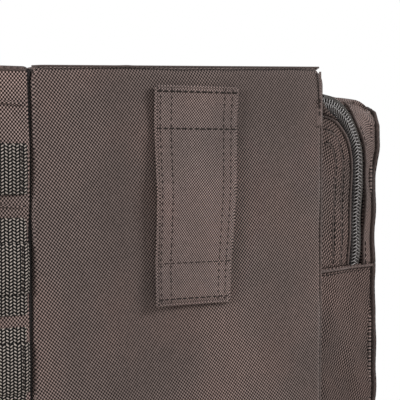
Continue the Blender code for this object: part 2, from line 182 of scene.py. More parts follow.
class Finish:
    """A material under construction: its nodes, and the shader that they feed."""

    def __init__(self, name):
        self.material = bpy.data.materials.new(name)
        self.material.use_nodes = True
        self.tree = self.material.node_tree
        self.shader = self.tree.nodes["Principled BSDF"]

    def node(self, kind, settings=None, inputs=None, output=0):
        """A node with its settings made first and then its sockets filled; gives one output."""
        node = self.tree.nodes.new(kind)
        for key, value in (settings or {}).items():
            if key == "stops":
                for stop, (place, shade) in zip(node.color_ramp.elements, value):
                    stop.position, stop.color = place, shade
            else:
                setattr(node, key, value)
        for key, value in (inputs or {}).items():
            self.feed(node.inputs[key], value)
        return Wire(self, node.outputs[output])

    def feed(self, socket, value):
        if isinstance(value, Wire):
            self.tree.links.new(value.socket, socket)
        elif isinstance(value, tuple) and len(value) == 3 and len(socket.default_value) == 4:
            socket.default_value = (*value, 1.0)
        else:
            socket.default_value = value

    def mix(self, factor, first, second, blend="MIX"):
        settings = {"data_type": "RGBA", "blend_type": blend}
        return self.node("ShaderNodeMix", settings, {0: factor, 6: first, 7: second}, 2)

    def lit(self, tone, light):
        """A colour made lighter or darker by a number."""
        grey = self.node("ShaderNodeCombineXYZ", None, {0: light, 1: light, 2: light})
        return self.mix(1.0, tone, grey, "MULTIPLY")

    def cloth(self, pitch_u, pitch_v, turn=0.0):
        """The two cloth coordinates, counted in yarns."""
        uv = self.node("ShaderNodeUVMap", {"uv_map": "cloth"})
        turned = self.node(
            "ShaderNodeVectorRotate", {"rotation_type": "Z_AXIS"}, {"Vector": uv, "Angle": turn}
        )
        parts = self.tree.nodes.new("ShaderNodeSeparateXYZ")
        self.tree.links.new(turned.socket, parts.inputs[0])
        return Wire(self, parts.outputs[0]) / pitch_u, Wire(self, parts.outputs[1]) / pitch_v

    def place(self):
        return self.node("ShaderNodeTexCoord", output=3)

    def grain(self, scale, detail=2.0, stretch=None, rough=0.5):
        place = self.place()
        if stretch:
            place = self.node(
                "ShaderNodeVectorMath", {"operation": "MULTIPLY"}, {0: place, 1: stretch}
            )
        inputs = {"Vector": place, "Scale": scale, "Detail": detail, "Roughness": rough}
        return self.node("ShaderNodeTexNoise", {"noise_dimensions": "3D"}, inputs)

    def bump(self, height, distance, strength=1.0, under=None):
        inputs = {"Height": height, "Distance": distance, "Strength": strength}
        if under is not None:
            inputs["Normal"] = under
        return self.node("ShaderNodeBump", None, inputs)

    def wear_shader(self, **sockets):
        for key, value in sockets.items():
            self.feed(self.shader.inputs[key.replace("_", " ")], value)
        return self.material


def shade(base, factor):
    """A colour made lighter or darker."""
    return tuple(min(1.0, channel * factor) for channel in base)


def woven(name, base, pitch, turn=0.14, contrast=1.0, rough=0.86, mottled=1.0, gloss=0.08):
    """Plain-woven cloth: crossing yarns, uneven dye, rubbed high spots."""
    f = Finish(name)
    u, v = f.cloth(pitch * 0.92, pitch * 1.09, turn)
    cross = (u * math.pi).sine() * (v * math.pi).sine()
    over = (cross * 0.5 + 0.5).clear(0.08, 0.92)
    yarns = ((u * 2 * math.pi).sine() * 0.5 + 0.5) * ((v * 2 * math.pi).sine() * 0.5 + 0.5)
    patches = f.grain(22.0, 3.0)
    fine = f.grain(420.0, 2.0)
    rubbed = f.grain(60.0, 4.0, rough=0.65).clear(0.56, 0.75)
    drift = f.grain(14.0, 2.0, stretch=(1.0, 1.5, 0.7)).clear(0.3, 0.7) * 0.75 + 0.6
    light = (over - 0.5) * drift * (2.3 * contrast) + 0.95 + yarns * (0.3 * contrast)
    light = light.maths("MAXIMUM", light, 0.05)
    light = light * (patches * (0.36 * mottled) + (1 - 0.18 * mottled))
    light = light * (fine * 0.5 + 0.75) + rubbed * 0.1
    redder = (base[0] * 1.04, base[1] * 0.97, base[2] * 0.95)
    tint = f.mix(patches.clear(0.35, 0.7), shade(base, 1.0), redder)
    pale = f.lit(tint, light)
    waves = f.bump(patches, 0.0012, 0.35)
    threads = f.bump(over * 0.7 + yarns * 0.3 + fine * 0.25, 0.00022, 0.8, waves)
    return f.wear_shader(
        Sheen_Weight=gloss * 0.2, Sheen_Roughness=0.5, Specular_IOR_Level=gloss,
        Base_Color=pale, Roughness=over * -0.08 + rough, Normal=threads,
    )


def strap(name, base, column=0.0019, dot=0.0017, contrast=1.0):
    """Nylon webbing: ribs along the strap, each a row of crossing yarns."""
    f = Finish(name)
    v, u = f.cloth(dot, column)
    offset = (u.whole() * 0.5).part()
    rib = ((u.part() - 0.5).size() * 2) ** 2.0
    lean = (u.part() - 0.5) * (offset - 0.25) * 2.6
    beat = ((v + lean + offset * 0.7) * 2 * math.pi).sine() * 0.5 + 0.5
    beads = beat * (1 - rib)
    fine = f.grain(520.0, 2.0)
    patches = f.grain(30.0, 3.0)
    light = beads.clear(0.34, 0.78) * (7.4 * contrast) + (0.62 - 0.6 * contrast)
    light = light * (patches * 0.5 + 0.75) * (fine * 0.5 + 0.75)
    pale = f.lit(base, light)
    threads = f.bump(beads + fine * 0.2, 0.0004, 0.9)
    return f.wear_shader(
        Specular_IOR_Level=0.06,
        Base_Color=pale, Roughness=beads * -0.15 + 0.8, Normal=threads,
    )


def moulded(name, base, rough=0.42, metal=0.0, grain=900.0, worn=0.25):
    """Moulded plastic or coated metal: fine texture, soft scuffs on the open faces."""
    f = Finish(name)
    fine = f.grain(grain, 2.0)
    scuffs = f.grain(140.0, 5.0, rough=0.7).clear(0.52, 0.72)
    tone = f.mix(scuffs * worn, shade(base, 1.0), shade(base, 2.4))
    relief = f.bump(fine + scuffs * 0.6, 0.00006, 0.7)
    roughness = scuffs * 0.2 + fine * 0.12 + rough - 0.06
    return f.wear_shader(Metallic=metal, Base_Color=tone, Roughness=roughness, Normal=relief)


def thread(name, base):
    """Twisted sewing thread."""
    f = Finish(name)
    u, _ = f.cloth(0.0006, 0.0006, 0.7)
    ply = (u * 2 * math.pi).sine() * 0.5 + 0.5
    fine = f.grain(700.0)
    tone = f.mix(ply * 0.5 + fine * 0.3, shade(base, 0.7), shade(base, 1.9))
    return f.wear_shader(
        Specular_IOR_Level=0.05,
        Base_Color=tone, Roughness=fine * 0.2 + 0.7, Normal=f.bump(ply, 0.0001, 0.6),
    )


def netting(name, base, cell=0.0032, solid=0.34):
    """Knitted net with open cells, or closed spacer mesh where solid is 1."""
    f = Finish(name)
    u, v = f.cloth(cell, cell * 1.25)
    shift = (v.whole() * 0.5).part()
    across, along = (u + shift).part() - 0.5, v.part() - 0.5
    hole = 1 - ((across * across + along * along) * 4.4).clear(0.2, 0.75)
    fine = f.grain(600.0)
    tone = f.mix(hole, shade(base, 1.25), shade(base, 0.3))
    relief = f.bump(hole * -1.0 + fine * 0.15, 0.0009, 0.9)
    inputs = {"Base_Color": tone, "Roughness": fine * 0.15 + 0.75, "Normal": relief}
    if solid < 1:
        inputs["Alpha"] = 1 - hole * (1 - solid) * 1.25
    return f.wear_shader(**inputs)


def looped(name, base):
    """Hook-and-loop pile: short tangled fibres."""
    f = Finish(name)
    inputs = {"Vector": f.place(), "Scale": 900.0}
    curls = f.node("ShaderNodeTexVoronoi", {"feature": "F1"}, inputs)
    fine = f.grain(1100.0, 3.0)
    tone = f.mix(curls.clear(0.1, 0.6), shade(base, 1.5), shade(base, 0.5))
    relief = f.bump(fine - curls, 0.0009, 1.0)
    return f.wear_shader(
        Sheen_Weight=0.3, Base_Color=tone, Roughness=fine * 0.1 + 0.88, Normal=relief
    )


def vinyl(name):
    """Clear flexible window with soft ripples."""
    f = Finish(name)
    ripples = f.grain(35.0, 2.0)
    return f.wear_shader(
        IOR=1.45, Base_Color=(0.75, 0.78, 0.8), Alpha=ripples * 0.12 + 0.16,
        Roughness=ripples * 0.1 + 0.08, Normal=f.bump(ripples, 0.002, 0.5),
    )


LOOKS = {}


def mix_finishes():
    """Fills LOOKS from the settings."""
    scene = bpy.context.scene
    fabric, stitch, zips = scene.pack_fabric, scene.pack_stitch, scene.pack_zip
    shell, band, webbing = tuple(fabric.shell), tuple(fabric.band), tuple(fabric.webbing)
    pitch = fabric.pitch
    bold = dict(contrast=2.1, mottled=1.8, gloss=0.03)
    wall = dict(contrast=2.2, mottled=2.6, gloss=0.02)
    edging = dict(turn=0.5, contrast=0.35)
    LOOKS.update(
        fabric=woven(
            "pack_cloth", shade(shell, 1.02), pitch, contrast=1.45, mottled=1.6, gloss=0.06
        ),
        # the pack cloth painted lighter, a painted light on the rear sleeve's sides
        sleeve=woven("sleeve_cloth_painted_light", shade(shell, 1.17), pitch, turn=0.05, **bold),
        # the pack cloth painted darker, a painted shade on the pockets' side walls
        gusset=woven("gusset_cloth_painted_shade", shade(shell, 0.6), pitch * 1.32, turn=0.35, **wall),
        smooth=woven("trim_cloth", band, pitch * 0.75, contrast=0.55, mottled=0.7),
        binding=woven("binding_tape", shade(shell, 0.9), pitch * 0.5, **edging),
        piping=woven("piping_cloth", shade(shell, 1.0), pitch * 0.5, **edging),
        lining=woven("lining_cloth", tuple(fabric.lining), pitch * 0.6, contrast=0.4, rough=0.7),
        band=woven(
            "band_cloth", shade(band, 0.92), pitch * 0.85,
            turn=0.05, contrast=1.6, mottled=1.8, gloss=0.05,
        ),
        webbing=strap("strap_webbing", webbing),
        fine_webbing=strap("narrow_webbing", webbing, column=0.0016, dot=0.0014),
        tape=strap("zip_tape", tuple(zips.tape), column=0.0011, dot=0.0011, contrast=0.25),
        coil=moulded("zip_coil", tuple(zips.coil), rough=0.55, worn=0.05),
        thread=thread("sewing_thread", tuple(stitch.thread)),
        # near-black cloth that paints shade: strips and fillers set in crevices and under coils, where
        # only shade falls
        shadow=woven("painted_shadow_cloth", (0.006, 0.005, 0.005), pitch, contrast=0.4),
        plastic=moulded("moulded_nylon", (0.018, 0.017, 0.017)),
        slider=moulded("coated_metal", (0.03, 0.029, 0.028), rough=0.34, metal=0.85),
        rubber=moulded("base_rubber", (0.022, 0.021, 0.02), rough=0.75, grain=500.0),
        board=moulded("frame_board", (0.025, 0.025, 0.026), rough=0.5, grain=300.0),
        stay=moulded("frame_stay", (0.55, 0.55, 0.56), rough=0.32, metal=1.0, worn=0.1),
        net=netting("pocket_net", (0.06, 0.052, 0.048)),
        spacer=netting("spacer_mesh", (0.05, 0.043, 0.04), cell=0.0042, solid=1.0),
        loop=looped("loop_pile", (0.045, 0.037, 0.034)),
        window=vinyl("clear_window"),
        red=woven("module_red", (0.36, 0.035, 0.025), pitch * 0.7, contrast=0.4),
        blue=woven("module_blue", (0.03, 0.08, 0.25), pitch * 0.7, contrast=0.4),
        green=woven("module_green", (0.035, 0.16, 0.06), pitch * 0.7, contrast=0.4),
    )


# ---------------------------------------------------------------- shapes


def row_of(points):
    """One point, or many, as rows of three numbers."""
    return np.asarray(points, float).reshape(-1, 3)


def unit(vectors):
    return vectors / np.maximum(np.linalg.norm(vectors, axis=-1, keepdims=True), 1e-9)


def spread(low, high, step, least=2):
    """Evenly spaced numbers from low to high, no more than step apart."""
    return np.linspace(low, high, max(least, int(math.ceil(abs(high - low) / step)) + 1))


def along_x(low, high, step, y, z):
    """A straight row of points across the pack."""
    return [(x, y, z) for x in spread(low, high, step)]


def along_z(low, high, step, x, y):
    """A straight row of points up the pack."""
    return [(x, y, z) for z in spread(low, high, step)]


def distances(path):
    """How far each point of a path lies from its start, measured along the path."""
    return np.concatenate([[0], np.cumsum(np.linalg.norm(np.diff(path, axis=0), axis=1))])


def matched(up, path):
    """One direction for each point of a path."""
    up = row_of(up)
    return np.repeat(up, len(path), 0) if len(up) == 1 else up


def ring_faces(n, m, loop=False):
    """The faces between n rings of m points each."""
    return [
        (i * m + j, i * m + (j + 1) % m, (i + 1) % n * m + (j + 1) % m, (i + 1) % n * m + j)
        for i in range(n if loop else n - 1)
        for j in range(m)
    ]


def rod(stations, sides=6):
    """A short rod along x, from its (x, half width, half height, lift) stations."""
    points = []
    for x, wide, high, lift in stations:
        for a in (2 * math.pi * k / sides for k in range(sides)):
            points.append((x, math.cos(a) * wide, math.sin(a) * high + lift))
    last = len(points) - sides
    ends = [tuple(range(sides))[::-1], tuple(range(last, last + sides))]
    return points, ring_faces(len(stations), sides) + ends


def resample(path, step, *others):
    """The path, and what goes with its points, at even steps along its length."""
    path = row_of(path)
    run = distances(path)
    at = spread(0, run[-1], step)
    found = []
    for values in (path, *others):
        values = row_of(values)
        found.append(np.stack([np.interp(at, run, values[:, k]) for k in range(3)], 1))
    return found if others else found[0]


def tangents(path, loop=False):
    path = row_of(path)
    if loop:
        return unit(np.roll(path, -1, 0) - np.roll(path, 1, 0))
    return unit(np.gradient(path, axis=0))


def dents(points, normals, amount, scale=26.0, seed=0.0):
    """Moves points along their normals by slow, uneven amounts, as worn cloth lies."""
    moved = points.copy()
    for i, (x, y, z) in enumerate(points):
        spot = Vector((x / scale + seed, y / scale - seed, z / scale / 1.6))
        value = noise.noise(spot) + 0.5 * noise.noise(spot * 2.3)
        moved[i] += normals[i] * value * amount
    return moved


STITCH_SHARE = 0.7  # how much of its pitch a stitch fills


class Cut:
    """Gathers the faces of one piece with their cloth coordinates and finishes."""

    def __init__(self):
        self.points, self.faces, self.cloth, self.looks, self.names = [], [], [], [], []
        self.count = 0

    def add(self, points, faces, look, cloth=None):
        points = row_of(points)
        if cloth is None:
            cloth = np.full((len(points), 2), np.nan)
        self.points.append(points)
        self.cloth.append(np.asarray(cloth, float))
        self.cover(faces, look, self.count)
        self.count += len(points)
        return self

    def cover(self, faces, look, start):
        """Faces in one finish over points that begin at start."""
        if look not in self.names:
            self.names.append(look)
        self.faces += [tuple(int(i) + start for i in face) for face in faces]
        self.looks += [self.names.index(look)] * len(faces)

    def sweep(self, path, across, up, section, look, loop=False):
        """A closed section carried along a path; section points are (across, up) pairs."""
        path, across, up = row_of(path), row_of(across), row_of(up)
        section = np.asarray(section, float)
        n, m = len(path), len(section)
        wide, high = section[None, :, 0:1], section[None, :, 1:2]
        points = (path[:, None] + across[:, None] * wide + up[:, None] * high).reshape(-1, 3)
        faces = ring_faces(n, m, loop)
        if not loop:
            faces += [tuple(range(m))[::-1], tuple(range((n - 1) * m, n * m))]
        around = np.tile(section[:, 0] + section[:, 1] * 0.3, n)
        return self.add(points, faces, look, np.stack([around, np.repeat(distances(path), m)], 1))

    def ribbon(self, path, up, width, thickness, look, loop=False, crown=0.0):
        """A flat strap along a path, its broad face towards up."""
        path, up = row_of(path), matched(up, path)
        across = unit(np.cross(tangents(path, loop), up))
        w, t = width / 2, thickness / 2
        edge = min(t, 0.8)
        high = t + crown * 0.7
        top = [(-w + edge, t), (-w * 0.5, high), (0, t + crown), (w * 0.5, high), (w - edge, t)]
        right = [(w, t * 0.3), (w, -t * 0.3), (w - edge, -t)]
        left = [(0, -t), (-w + edge, -t), (-w, -t * 0.3), (-w, t * 0.3)]
        return self.sweep(path, across, up, top + right + left, look, loop)

    def tube(self, path, radius, look, loop=False, sides=8, up=(0.31, 0.22, 0.92)):
        path = row_of(path)
        along = tangents(path, loop)
        across = unit(np.cross(along, row_of(up)))
        lift = unit(np.cross(across, along))
        angles = np.linspace(0, 2 * math.pi, sides, endpoint=False)
        section = np.stack([np.cos(angles), np.sin(angles)], 1) * radius
        return self.sweep(path, across, lift, section, look, loop)

    def copies(self, shape, faces, origins, along, up, look):
        """One small shape, given along (x), across (y) and up (z), set at many places."""
        origins, along, up = row_of(origins), unit(row_of(along)), unit(row_of(up))
        across = unit(np.cross(up, along))
        up = unit(np.cross(along, across))
        shape = np.asarray(shape, float)
        points = (
            origins[:, None]
            + along[:, None] * shape[None, :, 0:1]
            + across[:, None] * shape[None, :, 1:2]
            + up[:, None] * shape[None, :, 2:3]
        ).reshape(-1, 3)
        n = len(shape)
        every = [tuple(i + k * n for i in face) for k in range(len(origins)) for face in faces]
        return self.add(points, every, look, np.tile(shape[:, :2], (len(origins), 1)))

    def stitches(self, path, up, size=1.0, sink=0.0):
        """A row of stitches along a path on a face whose normals are up."""
        stitch = bpy.context.scene.pack_stitch
        pitch, radius = stitch.pitch / MM, stitch.size / MM * size
        spots, ups = resample(path, pitch, matched(up, path))
        if len(spots) < 3:
            return self
        half = pitch * STITCH_SHARE / 2
        stations = [(-half, 0.35), (-half * 0.72, 0.95), (half * 0.72, 0.95), (half, 0.35)]
        shape, faces = rod([(x, radius * 1.15 * k, radius * k, 0) for x, k in stations])
        middle = (spots[:-1] + spots[1:]) / 2 + ups[:-1] * (radius * 0.35 - sink)
        return self.copies(shape, faces, middle, tangents(spots)[:-1], ups[:-1], "thread")

    def sheet(self, grid, thickness, look, cloth=None):
        """A sheet of even thickness over a grid of points, its outer face as given."""
        grid = np.asarray(grid, float)
        n, m = grid.shape[:2]
        normals = unit(np.cross(np.gradient(grid, axis=0), np.gradient(grid, axis=1)))
        inner = grid - normals * thickness
        size = n * m
        top = [
            (i * m + j, (i + 1) * m + j, (i + 1) * m + j + 1, i * m + j + 1)
            for i in range(n - 1)
            for j in range(m - 1)
        ]
        under = [tuple(size + k for k in reversed(face)) for face in top]
        low = [((i + 1) * m, i * m) for i in range(n - 1)]
        high = [(i * m + m - 1, (i + 1) * m + m - 1) for i in range(n - 1)]
        near = [(j, j + 1) for j in range(m - 1)]
        far = [((n - 1) * m + j + 1, (n - 1) * m + j) for j in range(m - 1)]
        walls = [(b, a, a + size, b + size) for a, b in low + high + near + far]
        if cloth is None:
            u, v = distances(grid[:, m // 2]), distances(grid[n // 2])
            cloth = np.stack(np.meshgrid(u, v, indexing="ij"), -1).reshape(-1, 2)
        points = np.concatenate([grid.reshape(-1, 3), inner.reshape(-1, 3)])
        self.add(points, top + walls, look, np.concatenate([cloth, cloth]))
        self.cover(under, look, self.count - len(points))
        return self

    def lathe_box(self, rings, look):
        """Rings of equal length joined in order, and closed at both ends."""
        rings = np.asarray(rings, float)
        n, m = rings.shape[:2]
        faces = ring_faces(n, m)
        for start, flip in ((0, True), ((n - 1) * m, False)):
            for j in range(m // 2):
                if j + 1 > m - 2 - j:
                    break
                a, b = start + j, start + j + 1
                c, d = start + (m - 1 - j), start + (m - 2 - j) % m
                face = (a, b, d, c) if b != d else (a, b, c)
                faces.append(face[::-1] if flip else face)
        return self.add(rings.reshape(-1, 3), faces, look)

    def piece(self, name, body, slot, nodes=(), sharp=None):
        """The finished object, riding on a body and standing for CAD nodes."""
        mesh = bpy.data.meshes.new(name)
        points = np.concatenate(self.points) * MM
        mesh.from_pydata(points.tolist(), [], self.faces)
        for look in self.names:
            mesh.materials.append(LOOKS[look])
        mesh.polygons.foreach_set("material_index", self.looks)
        mesh.polygons.foreach_set("use_smooth", [True] * len(self.faces))
        mesh.update()
        lay_cloth(mesh, np.concatenate(self.cloth) * MM)
        obj = bpy.data.objects.new(name, mesh)
        bpy.context.collection.objects.link(obj)
        face_outwards(mesh)
        if sharp is not None:
            mesh.set_sharp_from_angle(angle=math.radians(sharp))
        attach(obj, body)
        if nodes:
            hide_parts(*nodes)
        return obj


def face_outwards(mesh):
    """Turns every face of a mesh outwards."""
    work = bmesh.new()
    work.from_mesh(mesh)
    bmesh.ops.recalc_face_normals(work, faces=work.faces)
    work.to_mesh(mesh)
    work.free()


def lay_cloth(mesh, given=None):
    """The cloth coordinates in metres: as given, or flat along the axis each face looks down."""
    layer = mesh.uv_layers.new(name="cloth")
    loops = np.zeros(len(mesh.loops), int)
    mesh.loops.foreach_get("vertex_index", loops)
    points = np.zeros(len(mesh.vertices) * 3)
    mesh.vertices.foreach_get("co", points)
    points = points.reshape(-1, 3)
    normals = np.zeros(len(mesh.polygons) * 3)
    mesh.polygons.foreach_get("normal", normals)
    sizes = np.zeros(len(mesh.polygons), int)
    mesh.polygons.foreach_get("loop_total", sizes)
    facing = np.repeat(np.abs(normals.reshape(-1, 3)).argmax(1), sizes)
    pairs = np.array([(1, 2), (0, 2), (0, 1)])[facing]
    rows = np.arange(len(loops))
    uv = np.stack([points[loops][rows, pairs[:, 0]], points[loops][rows, pairs[:, 1]]], 1)
    if given is not None:
        own = given[loops]
        uv = np.where(np.isnan(own), uv, own)
    layer.data.foreach_set("uv", uv.astype(np.float32).ravel())


def outline(half_a, half_b, radius, counts, corner=4):
    """Points around a rounded rectangle, with counts steps on its long and short sides."""
    radius = max(min(radius, half_a - 0.01, half_b - 0.01), 0.01)
    flat_a, flat_b = half_a - radius, half_b - radius
    centres = ((flat_a, -flat_b), (flat_a, flat_b), (-flat_a, flat_b), (-flat_a, -flat_b))
    points = []
    for k, (ca, cb) in enumerate(centres):
        start = -math.pi / 2 + k * math.pi / 2
        for a in (start + i * math.pi / 2 / corner for i in range(corner + 1)):
            points.append((ca + radius * math.cos(a), cb + radius * math.sin(a)))
        here, end = points[-1], start + math.pi / 2
        after = centres[(k + 1) % 4]
        there = (after[0] + radius * math.cos(end), after[1] + radius * math.sin(end))
        for f in (i / counts[k % 2] for i in range(1, counts[k % 2])):
            points.append((here[0] + (there[0] - here[0]) * f, here[1] + (there[1] - here[1]) * f))
    return points


def hoop(half_a, half_b, radius, counts, place):
    """A rounded rectangle around a place, as seen from the front."""
    x, y, z = place
    return [(x + a, y, z + b) for a, b in outline(half_a, half_b, radius, counts)]


def to_axes(pairs, level, axis):
    """Points at a level along an axis from pairs in the other two."""
    return np.insert(np.asarray(pairs, float), axis, level, axis=1)


def box_halves(low, high, axis, step):
    """A box's other two axes, its middle and half sizes, and how many steps its sides take."""
    low, high = np.array(low, float), np.array(high, float)
    a, b = [k for k in range(3) if k != axis]
    middle, half = (low + high) / 2, (high - low) / 2
    counts = (max(2, int(2 * half[b] / step)), max(2, int(2 * half[a] / step)))
    return a, b, middle, half, counts


def soft_rings(low, high, axis, corner, edge, crown=(0.0, 0.0), step=14.0):
    """Rings of a soft closed box, thin along axis, its two broad faces crowned."""
    a, b, middle, half, counts = box_halves(low, high, axis, step)
    depth, short = half[axis], min(half[a], half[b])
    edge = min(edge, depth * 0.98)
    insets = list(np.linspace(short * 0.96, edge, max(4, int(short / step) + 1)))
    profile = [(inset, -depth) for inset in insets]
    for t in (0.5, 1.05, 1.57):
        profile.append((edge * (1 - math.sin(t)), -depth + edge * (1 - math.cos(t))))
    if depth > edge * 1.3:
        profile += [(0.0, z) for z in spread(-(depth - edge), depth - edge, step, 3)[1:-1]]
    profile += [(i, -c) for i, c in reversed(profile[: len(insets) + 3])]
    rings = []
    for inset, level in profile:
        radius = corner - min(inset, corner * 0.7)
        pairs = np.array(outline(half[a] - inset, half[b] - inset, radius, counts))
        levels = np.full(len(pairs), middle[axis] + level)
        if abs(level) > depth * 0.6:
            round_a = np.maximum(0.0, 1 - (pairs[:, 0] / half[a]) ** 2) ** 0.5
            round_b = np.maximum(0.0, 1 - (pairs[:, 1] / half[b]) ** 2) ** 0.5
            levels += (crown[1] if level > 0 else -crown[0]) * (round_a * round_b)
        rings.append(to_axes(pairs + middle[[a, b]], levels, axis))
    return np.array(rings)


def ring_normals(rings):
    """Rough outward directions of a ring shape's points."""
    rings = np.asarray(rings, float)
    du = np.gradient(rings, axis=0)
    dv = np.roll(rings, -1, 1) - np.roll(rings, 1, 1)
    return unit(np.cross(dv, du))


def rumple(rings, amount, scale=30.0, seed=0.0):
    """The rings of a shape with slow, uneven dents."""
    shape = rings.shape
    normals = ring_normals(rings).reshape(-1, 3)
    return dents(rings.reshape(-1, 3), normals, amount, scale, seed).reshape(shape)


def arc(centre, radii, start, end, steps):
    """Points on part of an ellipse, with its angles in degrees."""
    (x, y), (wide, high) = centre, radii
    angles = np.radians(np.linspace(start, end, steps))
    return [(x + wide * math.cos(a), y + high * math.sin(a)) for a in angles]


# ---------------------------------------------------------------- zips


# One turn of a coil from its tape to its round head: place, half thickness and lift.
TOOTH = (
    (-0.52, 0.2, -0.3), (-0.42, 0.34, 0.1), (0.0, 0.36, 0.35),
    (0.36, 0.42, 0.35), (0.5, 0.46, 0.15), (0.6, 0.25, -0.1),
)


def zip_half(cut, path, up, side, width, size=1.0):
    """One half of a coil zip on a path: its tape on one side, and its turns of coil."""
    settings = bpy.context.scene.pack_zip
    path, up = resample(path, settings.pitch / MM, matched(up, path))
    along = tangents(path)
    across = unit(np.cross(along, up)) * side
    hidden = 4.2 * size
    # the first band is a near-black strip under the coil, painted shade between its turns; the second
    # is the tape
    bands = ((0.4, hidden, "shadow", 0.7), (hidden - 0.3, width, "tape", 0.5))
    for low, high, look, level in bands:
        if high - low > 0.8:
            line = path + across * (low + high) / 2 - up * level
            cut.ribbon(line[::3], up[::3], high - low, 0.7, look)
    shift = 0.5 if side > 0 else 0.0
    reach = settings.reach / MM * size
    middle = path[:-1] + (path[1:] - path[:-1]) * shift
    middle += across[:-1] * reach * 0.42 + up[:-1] * 0.5
    slant = unit(along[:-1] * 0.34 - across[:-1])
    shape, faces = rod([(x * reach, thick, thick * 1.1, lift) for x, thick, lift in TOOTH])
    return cut.copies(shape, faces, middle, slant, up[:-1], "coil")


# ---------------------------------------------------------------- stage and shells


class PackOperator:
    """What every building step shares."""

    bl_options = {"REGISTER", "UNDO"}

    def execute(self, context):
        self.build(context)
        return {"FINISHED"}


class PACK_OT_finishes(PackOperator, bpy.types.Operator):
    """Mixes the cloth, webbing, thread, plastic and metal finishes"""

    bl_idname = "pack.finishes"
    bl_label = "Finishes"

    def build(self, context):
        mix_finishes()


CAMERA_PLACE = (-0.637, 0.188, 0.4104)
CAMERA_AIM = (0.927, -0.375, -0.04375)


class PACK_OT_stage(PackOperator, bpy.types.Operator):
    """Sets up the camera, the pale floor and the soft studio lights"""

    bl_idname = "pack.stage"
    bl_label = "Stage"

    def build(self, context):
        stage = context.scene.pack_stage
        lens = bpy.data.cameras.new("studio_camera")
        lens.lens = stage.lens
        lens.clip_start = 0.01
        camera = bpy.data.objects.new("studio_camera", lens)
        camera.location = CAMERA_PLACE
        camera.rotation_euler = Vector(CAMERA_AIM).to_track_quat("-Z", "Y").to_euler()
        context.collection.objects.link(camera)
        context.scene.camera = camera
        world = bpy.data.worlds.new("studio_white")
        world.use_nodes = True
        world.node_tree.nodes["Background"].inputs[0].default_value = (1.0, 1.0, 1.0, 1.0)
        world.node_tree.nodes["Background"].inputs[1].default_value = stage.sky
        context.scene.world = world
        context.scene.view_settings.view_transform = "Standard"
        f = Finish("studio_floor")
        speck = f.grain(8.0, 2.0)
        tone = f.mix(speck, tuple(stage.floor), shade(tuple(stage.floor), 1.03))
        f.wear_shader(Base_Color=tone, Roughness=speck * 0.05 + 0.7)
        sides, reach, below = 64, 0.85, -0.0005
        turns = [k * math.tau / sides for k in range(sides)]
        rim = [(reach * math.cos(a), reach * math.sin(a), below) for a in turns]
        mesh = bpy.data.meshes.new("studio_floor")
        mesh.from_pydata(rim, [], [tuple(range(sides))])
        mesh.materials.append(f.material)
        floor = bpy.data.objects.new("studio_floor", mesh)
        context.collection.objects.link(floor)
        lamps = (
            ("key_light", (-0.66, -0.86, 0.92), 0.35, stage.key),
            ("side_light", (-0.62, 1.65, 0.8), 0.4, stage.key * 2.3),
            ("front_light", (0.5, -1.9, 0.9), 0.8, stage.key * 0.7),
            ("back_light", (0.9, 1.3, 1.2), 1.0, stage.key * 0.42),
        )
        for name, place, size, power in lamps:
            data = bpy.data.lights.new(name, "AREA")
            data.size, data.energy = size, power
            lamp = bpy.data.objects.new(name, data)
            lamp.location = place
            aim = Vector((0, 0, 0.25)) - Vector(place)
            lamp.rotation_euler = aim.to_track_quat("-Z", "Y").to_euler()
            context.collection.objects.link(lamp)


TUB_LOW, TUB_HIGH = (-150.0, -82.0, 6.0), (150.0, 82.0, 460.0)
SLEEVE_LOW, SLEEVE_HIGH = (-148.5, 82.6, 6.0), (148.5, 125.8, 454.8)


def tray(low, high, axis, sign, corner, edge, wall, step=12.0, bulge=2.0):
    """Rings of a tray: outer bottom, outer walls, lip, inner walls, inner bottom."""
    a, b, middle, half, counts = box_halves(low, high, axis, step)
    depth = high[axis] - low[axis]
    start = min(half[a], half[b]) * 0.97
    profile = [(inset, 0.0) for inset in spread(start, edge, step)]
    profile += [(edge * (1 - math.sin(t)), edge * (1 - math.cos(t))) for t in (0.4, 0.8, 1.2)]
    profile += [(0.0, level) for level in spread(edge, depth - 2.0, 8.0)]
    profile += [(0.7, depth - 0.6), (wall / 2, depth), (wall - 0.7, depth - 0.6)]
    profile += [(wall, level) for level in spread(depth - 2.0, wall + 4, step)]
    profile += [(inset, wall) for inset in spread(wall + 4, start, step)]
    rings = []
    floor_level = low[axis] if sign > 0 else high[axis]
    for inset, level in profile:
        swell = bulge * math.sin(level / depth * math.pi) if 0 < level < depth else 0
        out = []
        for pa, pb in outline(half[a] - inset, half[b] - inset, corner, counts):
            full_a = max(0.0, 1 - (pb / half[b]) ** 4) if abs(pa) > half[a] - wall - 1 else 0
            full_b = max(0.0, 1 - (pa / half[a]) ** 4) if abs(pb) > half[b] - wall - 1 else 0
            pa += math.copysign(swell * full_a, pa) + middle[a]
            pb += math.copysign(swell * full_b * 0.5, pb) + middle[b]
            out.append((pa, pb))
        rings.append(to_axes(out, floor_level + sign * level, axis))
    return np.array(rings)


def top_fall(y):
    """How far the pack's top has sunk at a distance from its front."""
    return 4.6 * np.clip((y - TUB_LOW[1]) / (TUB_HIGH[1] - TUB_LOW[1]), 0, 1) - 0.8


def sag_top(rings):
    """Lets the top of the shell sink towards the rear."""
    rings = rings.copy()
    rings[..., 2] -= top_fall(rings[..., 1]) * np.clip((rings[..., 2] - 425) / 33, 0, 1)
    return rings


